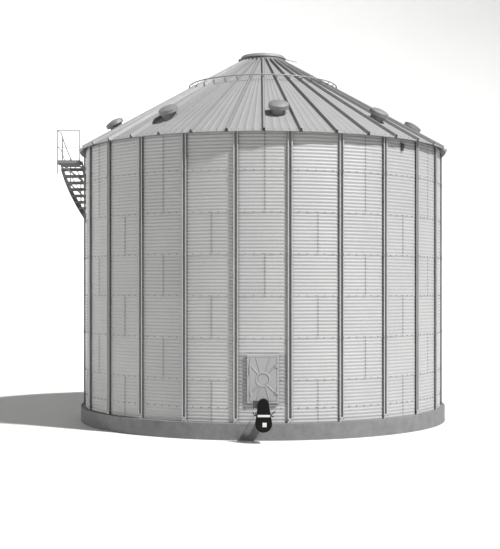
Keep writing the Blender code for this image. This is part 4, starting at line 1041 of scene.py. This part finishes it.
def drive_motor():
    """A finned case whose radius rises by narrow ridges in turn, end bells, a terminal box with
    a lid, and its stand on the tube."""
    y0 = GUARD_BACK + 0.0004
    turn = np.linspace(0, 2 * np.pi, 192, endpoint=False)
    fins = smooth_step((np.cos(24 * turn) + 0.1) / 0.7)
    stations = [(0.0, 0.090, 0.0), (0.012, 0.096, 0.0), (0.030, 0.096, 0.0), (0.034, 0.086, 1.0),
                (0.195, 0.086, 1.0), (0.199, 0.094, 0.0), (0.236, 0.0945, 0.0), (0.252, 0.084, 0.0),
                (0.258, 0.05, 0.0)]
    rings = []
    for y, radius, finned in stations:
        r = radius + 0.019 * fins * finned
        rings.append(np.stack([AUGER_X + r * np.cos(turn), np.full(len(turn), y0 + y),
                               MOTOR_Z + r * np.sin(turn)], -1))
    case = outward(grid(np.array(rings), wrap_columns=True, caps=True))
    back = GUARD_BACK + 0.045
    tube_top = AUGER_Z + AUGER_R
    levels = ((tube_top + 0.0005, tube_top + 0.010), (MOTOR_Z - 0.085, MOTOR_Z - 0.075))
    shelves = [block((AUGER_X - 0.08, back, low), (AUGER_X + 0.08, back + 0.10, high), 0.006)
               for low, high in levels]
    cheeks = [block((x - 0.004, back + 0.01, tube_top + 0.01), (x + 0.004, back + 0.09, MOTOR_Z - 0.05))
              for x in (AUGER_X - 0.070, AUGER_X + 0.070)]
    stand = joined(shelves[0], *cheeks, shelves[1])
    box = joined(block((-0.259, y0 + 0.012, 0.922), (-0.043, y0 + 0.076, 1.108), 0.010),
                 block((-0.261, y0 + 0.008, 0.920), (-0.041, y0 + 0.022, 1.110), 0.006))
    gland = prisms((-0.151, y0 + 0.044, 0.922), (-0.151, y0 + 0.044, 0.892), disc(0.014, 10),
                   up=(0, 1.0, 0))
    put("motor_case", joined(case, stand, box, gland), GREY, replaces=["drive_motor"],
        smooth=30.0)


def auger_tube():
    """The tube with its wall flange, end flange and spout, and two control rods whose round bar
    follows a bent path to a handle with a grip."""
    centre = np.array([AUGER_X, 0.0, AUGER_Z])
    wall = -(CREST_R + 0.0005)
    end = GUARD_BACK + 0.0004
    shapes = []
    profile = [(0, -5.30), (AUGER_R, -5.30), (AUGER_R, wall), (AUGER_R + 0.026, wall),
               (AUGER_R + 0.026, wall - 0.006), (AUGER_R, wall - 0.006), (AUGER_R, end + 0.016),
               (AUGER_R + 0.02, end + 0.016), (AUGER_R + 0.02, end + 0.006), (AUGER_R, end + 0.006),
               (AUGER_R, end), (0, end)]
    tube = lathe([(r, -y) for r, y in profile], 64)
    points = np.stack([tube[0][:, 0], -tube[0][:, 2], tube[0][:, 1]], -1) + centre
    shapes.append(outward((points, tube[1])))
    shapes.append(block((AUGER_X - 0.165, wall - 0.004, AUGER_Z - 0.125),
                        (AUGER_X + 0.165, wall, AUGER_Z + 0.135)))
    spout = []
    for z, inset in ((AUGER_Z, 0.0), (0.40, 0.0), (0.34, 0.0), (0.335, 0.0), (0.333, 0.0), (0.32, 0.0),
                     (0.32, 0.004), (0.50, 0.004)):
        west, east = AUGER_X - 0.1 + inset, AUGER_X + 0.1 - inset
        front_y, back_y = -6.11 + inset, -5.87 - inset
        corners = rounded([(west, front_y), (east, front_y), (east, back_y), (west, back_y)], 0.015, 3,
                          closed=True)
        spout.append(np.column_stack([corners, np.full(len(corners), z)]))
    shapes.append(outward(grid(np.array(spout), wrap_columns=True, caps=True)))
    near, far = ROD_X
    front = GUARD_BACK + 0.03
    shapes.append(block((near - 0.03, -6.0, ROD_Z - 0.02), (far + 0.03, -5.98, ROD_Z + 0.02), 0.004))
    shapes.append(block((AUGER_X - 0.06, -6.0, AUGER_Z), (AUGER_X + 0.06, -5.98, ROD_Z), 0.004))
    put("auger_housing", joined(*shapes), DULL_ZINC, replaces=["auger_tube"],
        smooth=32.0)
    left = rounded([(near, wall, ROD_Z), (near, front, ROD_Z), (near - 0.055, front, ROD_Z + 0.03),
                    (near - 0.075, front, ROD_Z + 0.085)], 0.02, 4)
    right = rounded([(far, wall, ROD_Z), (far, front, ROD_Z), (far + 0.125, front, ROD_Z + 0.11)],
                    0.02, 4)
    grip = disc(0.0135, 12)
    rods = joined(sweep(left, disc(0.010, 10)), sweep(right, disc(0.010, 10)),
                  prisms((near - 0.058, front, ROD_Z + 0.038), (near - 0.075, front, ROD_Z + 0.085), grip),
                  prisms((far + 0.06, front, ROD_Z + 0.053), (far + 0.125, front, ROD_Z + 0.11), grip),
                  prisms((far, front + 0.03, ROD_Z), (far + 0.085, front + 0.03, ROD_Z - 0.04),
                         disc(0.013, 12)))
    put("control_rods", rods, BLACK, smooth=40.0)


# Stair

def stair_line(steps, radius, up=0.0):
    """The pitch line: a turn that falls by one going and a height that falls by one rise a step."""
    steps = np.asarray(steps, float)
    return polar(radius, LANDING_END - GOING * steps, LANDING_Z - RISE * steps + up)


def rail_line(steps, up):
    """A line above the pitch line, but no higher than the landing's rail."""
    level, sloped = up
    line = stair_line(steps, RAIL_LINE, sloped)
    line[..., 2] = np.minimum(line[..., 2], LANDING_Z + level)
    return line


def string_board(radius, side, first, last):
    """A channel on edge along the pitch line; its lips point away from the treads."""
    web, lip = 0.007 * side, BOARD_T * side
    section = np.array([(0, -0.23), (lip, -0.23), (lip, -0.222), (web, -0.222), (web, 0.022),
                        (lip, 0.022), (lip, 0.03), (0, 0.03)])
    steps = np.linspace(first + 0.001, last - 0.001, (last - first) * 2 + 1)
    turn = (LANDING_END - GOING * steps)[:, None]
    z = np.maximum((LANDING_Z - RISE * steps)[:, None] + section[:, 1], 0.0)
    z = z + 0.0002 * np.arange(len(section)) * (z <= 0.0)
    return outward(grid(polar(radius + section[:, 0], turn, z), wrap_columns=True, caps=True))


def treads(first, last):
    """Bar grating: upright bars across each tread, round cross rods, and an edge bar all round."""
    index = np.arange(first, last, dtype=float)[:, None]
    inner, outer = STAIR_IN + BOARD_T + 0.001, STAIR_OUT - BOARD_T - 0.001
    bars = np.linspace(0.12, 0.88, 9)
    turn = (LANDING_END - GOING * (index + bars)).reshape(-1)
    top = LANDING_Z - RISE * (index[:, 0] + 1)
    z = np.repeat(top, len(bars)) - 0.017
    shapes = [prisms(polar(inner, turn, z), polar(outer, turn, z), rectangle(0.004, 0.032))]
    start = LANDING_END - GOING * (index[:, 0] + 0.03)
    stop = LANDING_END - GOING * (index[:, 0] + 0.985)
    for radius in np.linspace(inner + 0.07, outer - 0.07, 6):
        shapes.append(prisms(polar(radius, start, top - 0.006), polar(radius, stop, top - 0.006),
                             disc(0.004, 6)))
    for radius in (inner + 0.003, outer - 0.003):
        shapes.append(prisms(polar(radius, start, top - 0.026), polar(radius, stop, top - 0.026),
                             rectangle(0.005, 0.048)))
    for edge in (start, stop):
        shapes.append(prisms(polar(inner, edge, top - 0.0402), polar(outer, edge, top - 0.0402),
                             rectangle(0.006, 0.0796)))
    return joined(*shapes)


def bracket(turn, height, reach, knee=None, fall=0.0):
    """An angle arm under the stair, level or falling from its knee to the wall, a raking strut,
    and a shoe plate on the wall."""
    arm_out, out = STAIR_OUT - 0.012, polar(1.0, turn)
    foot_z = max(height - 0.62, BASE_Z + 0.08)
    high = np.array([0, 0, height])
    low = np.array([0, 0, foot_z])
    angle = angle_iron(0.045, 0.045, 0.006) - 0.0225
    near = knee or reach + 0.004
    shapes = [prisms(out * near + high, out * arm_out + high, angle)]
    if knee:
        shapes.append(prisms(out * (reach + 0.013) + high - (0, 0, fall),
                             out * (knee + 0.022) + high, angle))
    shapes.append(prisms(out * (reach + 0.012) + low, out * (arm_out - 0.12) + high - (0, 0, 0.01),
                         angle_iron(0.038, 0.038, 0.005) - 0.019))
    shoe = out * (reach + 0.0055)
    shapes.append(prisms(shoe + low - (0, 0, 0.05), shoe + high + (0, 0, 0.045 - fall),
                         rectangle(0.118, 0.010), up=out))
    return joined(*shapes)


def bracket_bolts(turn, height, reach, fall=0.0):
    """Two bolts high and two low on a bracket's shoe."""
    foot_z = max(height - 0.62, BASE_Z + 0.08)
    out, across = polar(1.0, turn), polar(1.0, turn + 90.0)
    heights = np.array([height - fall + 0.01, foot_z])
    return [out * (reach + 0.0105) + across * side + (0, 0, z)
            for z in heights for side in (-0.045, 0.045)], out


def stair_flights():
    """Four lengths of winding stair with their brackets on the stiffeners."""
    turns = [-STIFFENER_STEP * (k + 0.5) for k in range(6, 12)]
    reach = CREST_R + RIDGE_H + STIFFENER_T + 0.0006
    heads, outs = [], []
    for number, (first, last) in enumerate(FLIGHTS, start=1):
        shapes = [string_board(STAIR_IN + BOARD_T, -1, first, last),
                  string_board(STAIR_OUT - BOARD_T, 1, first, last), treads(first, last)]
        for turn in turns:
            place = (LANDING_END - turn) / GOING
            if first + 0.3 < place < last - 0.3:
                height = LANDING_Z - RISE * place - 0.218
                shapes.append(bracket(turn, height, reach))
                at, out = bracket_bolts(turn, height, reach)
                heads += at
                outs += [out] * len(at)
        put(f"winding_stair_{number}", joined(*shapes), DULL_ZINC,
            replaces=[f"stair_flight_{number}"], smooth=30.0, tone=-0.50)
    bolts("stair_bracket_bolts", np.array(heads), np.array(outs), radius=0.008, washer=0.012)


def handrails():
    """Round top and middle rails carried along the pitch line, on square posts with end caps
    and a bolted foot."""
    heads, outs = [], []
    for number, (first, last) in enumerate(FLIGHTS, start=1):
        start = first + (0.08 if number == 1 else 0.001)
        steps = np.linspace(start, last - 0.001, (last - first) * 3 + 1)
        shapes = [sweep(rail_line(steps, RAIL_UP), disc(RAIL_R, 12)),
                  sweep(rail_line(steps, MID_RAIL_UP), disc(RAIL_R * 0.8, 12))]
        for place in sorted({*range(first + 1, last - 1, 3), last - 1}):
            foot, head = stair_line(place, RAIL_LINE), rail_line(place, RAIL_UP)
            foot[2] = max(foot[2] - 0.15, 0.003)
            turn = LANDING_END - GOING * place
            shapes.append(prisms(foot, head - (0, 0, 0.004), rectangle(POST_W, POST_W, 0.004),
                                 up=polar(1.0, turn)))
            heads += [polar(RAIL_LINE + POST_W / 2 - 0.003, turn, foot[2] + z) for z in (0.03, 0.11)]
            outs += [polar(1.0, turn)] * 2
        put(f"pipe_handrail_{number}", joined(*shapes), POST_ZINC,
            replaces=[f"stair_handrail_{number}"], smooth=40.0, tone=-0.55)
    bolts("handrail_bolts", np.array(heads), np.array(outs), radius=0.005, height=0.001, washer=0.007)


def landing():
    """Bar grating in a channel frame, with the end guard, side guard and two wall brackets."""
    low, high = LANDING_Z - LANDING_T, LANDING_Z
    inner, outer = STAIR_IN, STAIR_OUT
    start, stop = LANDING_START, LANDING_END + 0.004
    section = np.array([(0, 0), (0.022, 0), (0.022, 0.007), (0.006, 0.007), (0.006, LANDING_T - 0.007),
                        (0.022, LANDING_T - 0.007), (0.022, LANDING_T), (0, LANDING_T)])
    shapes = []
    turns = np.linspace(start, stop, 7)[:, None]
    for radius, side in ((inner, 1), (outer, -1)):
        net = polar(radius + side * section[:, 0], turns, low + section[:, 1])
        shapes.append(outward(grid(net, wrap_columns=True, caps=True)))
    for turn, side in ((start - 0.002, -1.0), (stop + 0.002, 1.0)):
        across = polar(1.0, turn + 90.0) * side
        edge = polar(inner + 0.006, turn, low), polar(outer - 0.006, turn, low)
        net = np.array(edge)[:, None] + across * section[:, :1] + np.array([0, 0, 1.0]) * section[:, 1:]
        shapes.append(outward(grid(net, wrap_columns=True, caps=True)))
    bars = np.linspace(start, stop, 26)[1:-1]
    shapes.append(prisms(polar(inner + 0.007, bars, high - 0.018),
                         polar(outer - 0.007, bars, high - 0.018), rectangle(0.004, 0.032)))
    for radius in np.linspace(inner + 0.08, outer - 0.08, 6):
        shapes.append(prisms(polar(radius, start - 0.06, high - 0.006),
                             polar(radius, stop + 0.06, high - 0.006), disc(0.004, 6)))
    mid = (start + stop) / 2
    shapes.append(prisms(polar(inner + 0.007, mid, high - 0.065),
                         polar(outer - 0.007, mid, high - 0.065), rectangle(0.05, 0.04, 0.004)))
    joist = polar(inner + 0.010, start - 0.5, low), polar(outer - 0.090, start - 0.5, low)
    web = np.array([(0, 0), (0.045, 0), (0.045, -0.006), (0.006, -0.006), (0.006, -0.104),
                    (0.045, -0.104), (0.045, -0.11), (0, -0.11)])
    net = (np.array(joist)[:, None] + polar(1.0, start - 0.5 - 90.0) * web[:, :1]
           + np.array([0, 0, 1.0]) * (web[:, 1:] - 0.0004))
    shapes.append(outward(grid(net, wrap_columns=True, caps=True)))
    out_r, in_r = STAIR_OUT + 0.010, STAIR_IN + 0.010
    for radius, drop in ((out_r, 0.42), (in_r, LANDING_T)):
        foot = polar(radius, LANDING_POST_TURN, high - drop)
        shapes.append(prisms(foot, foot + (0, 0, drop + RAIL_UP[0]), rectangle(POST_W, POST_W, 0.004),
                             up=polar(1.0, LANDING_POST_TURN)))
    for up, size in ((RAIL_UP[0], RAIL_R), (MID_RAIL_UP[0], RAIL_R * 0.8)):
        line = [polar(in_r, LANDING_POST_TURN, high + up), polar(out_r, LANDING_POST_TURN, high + up),
                polar(out_r, LANDING_END + 0.008, high + up)]
        shapes.append(sweep(rounded(line, 0.012, 3), disc(size, 12)))
    heads, outs = [], []
    knee, fall = 5.80, 0.15
    for turn in (-87.9, -91.9):
        facet = round(turn / 7.5) * 7.5
        lean = math.radians(turn - facet)
        reach = (CREST_R + 0.0003) / math.cos(lean) + 0.06 * abs(math.tan(lean))
        shapes.append(bracket(turn, low - 0.024, reach, knee, fall))
        at, out = bracket_bolts(turn, low - 0.024, reach, fall)
        heads += at
        outs += [out] * len(at)
    side_turns = np.linspace(start - 0.5, stop + 0.5, 4)
    heads += list(polar(outer, side_turns, low + LANDING_T / 2))
    outs += list(polar(1.0, side_turns))
    near = polar(1.0, start + 90.0)
    heads += list(polar(np.array([5.80, 5.91, 6.20, 6.33]), start, low + LANDING_T / 2) + near * 0.0002)
    outs += [near] * 4
    put("eave_landing", joined(*shapes), DULL_ZINC, replaces=["stair_landing"],
        smooth=30.0, tone=-0.30)
    bolts("landing_bolts", np.array(heads), np.array(outs), radius=0.008, washer=0.013)


# Stage, light and camera

def floor():
    """A round pale floor that curves up into a backdrop far behind: rings about the bin's axis,
    level to 45 m and then a quarter circle of 38 m radius."""
    made, tree, shader, place = blank("pale_floor_paint", 0.85)
    cloud = node(tree, "ShaderNodeTexNoise", {"Vector": place, "Scale": 0.15})
    tint = node(tree, "ShaderNodeMix", {0: cloud.outputs[0], 6: linear("CECECD"), 7: linear("D1D1D0")},
                data_type="RGBA")
    tree.links.new(tint.outputs[2], shader.inputs["Base Color"])
    bend = np.radians(np.linspace(0.0, 85.0, 18))
    radii = np.concatenate([[1.0, 8.0, 20.0], 45.0 + 38.0 * np.sin(bend), [84.0]])
    heights = np.concatenate([[0.0, 0.0, 0.0], 38.0 * (1.0 - np.cos(bend)), [46.0]]) - 0.001
    turn = np.arange(0, 360, 4.0)
    points, faces = grid(polar(radii[:, None], turn, heights[:, None]), wrap_columns=True)
    mesh = bpy.data.meshes.new("pale_floor")
    quads = [tuple(face[::-1]) for face in faces[0].tolist()] + [tuple(range(len(turn)))]
    mesh.from_pydata(points.tolist(), [], quads)
    mesh.shade_smooth()
    mesh.materials.append(made)
    ground = bpy.data.objects.new("pale_floor", mesh)
    bpy.context.scene.collection.objects.link(ground)


def light_and_camera():
    """A key from the upper right, a wide soft fill from the front, an even pale surround, and the
    photo's viewpoint."""
    scene = bpy.context.scene
    world = bpy.data.worlds.new("studio")
    world.use_nodes = True
    surround = world.node_tree.nodes["Background"]
    surround.inputs["Color"].default_value = (1.0, 1.0, 1.0, 1.0)
    surround.inputs["Strength"].default_value = 0.20
    scene.world = world
    for name, energy, spread, turn, height in LIGHTS:
        light = bpy.data.lights.new(name, "SUN")
        light.energy = energy
        light.angle = math.radians(spread)
        lamp = bpy.data.objects.new(name, light)
        height = math.radians(height)
        towards = polar(math.cos(height), turn, math.sin(height))
        lamp.rotation_mode = "QUATERNION"
        lamp.rotation_quaternion = Vector(tuple(towards)).to_track_quat("Z", "Y")
        scene.collection.objects.link(lamp)
    lens = bpy.data.cameras.new("photo_view")
    lens.lens = LENS_MM
    lens.clip_end = 3000.0
    lens.shift_x = (PHOTO_SIZE[0] / 2 - PRINCIPAL_PX[0]) / max(PHOTO_SIZE)
    lens.shift_y = (PRINCIPAL_PX[1] - PHOTO_SIZE[1] / 2) / max(PHOTO_SIZE)
    camera = bpy.data.objects.new("photo_view", lens)
    camera.location = CAMERA_AT
    camera.rotation_euler = (math.pi / 2, 0.0, 0.0)
    scene.collection.objects.link(camera)
    scene.camera = camera
    scene.view_settings.view_transform = "Standard"


light_and_camera()
floor()
foundation()
sheet_random = np.random.default_rng(11)
for tier_number in range(1, 8):
    wall_tier(tier_number, sheet_random)
wall_bolts()
stiffeners()
stiffener_feet()
roof()
eave()
roof_vents()
safety_ring()
peak()
door_frame()
walk_in_door()
belt_guard()
guard_plates()
drive_motor()
auger_tube()
stair_flights()
handrails()
landing()
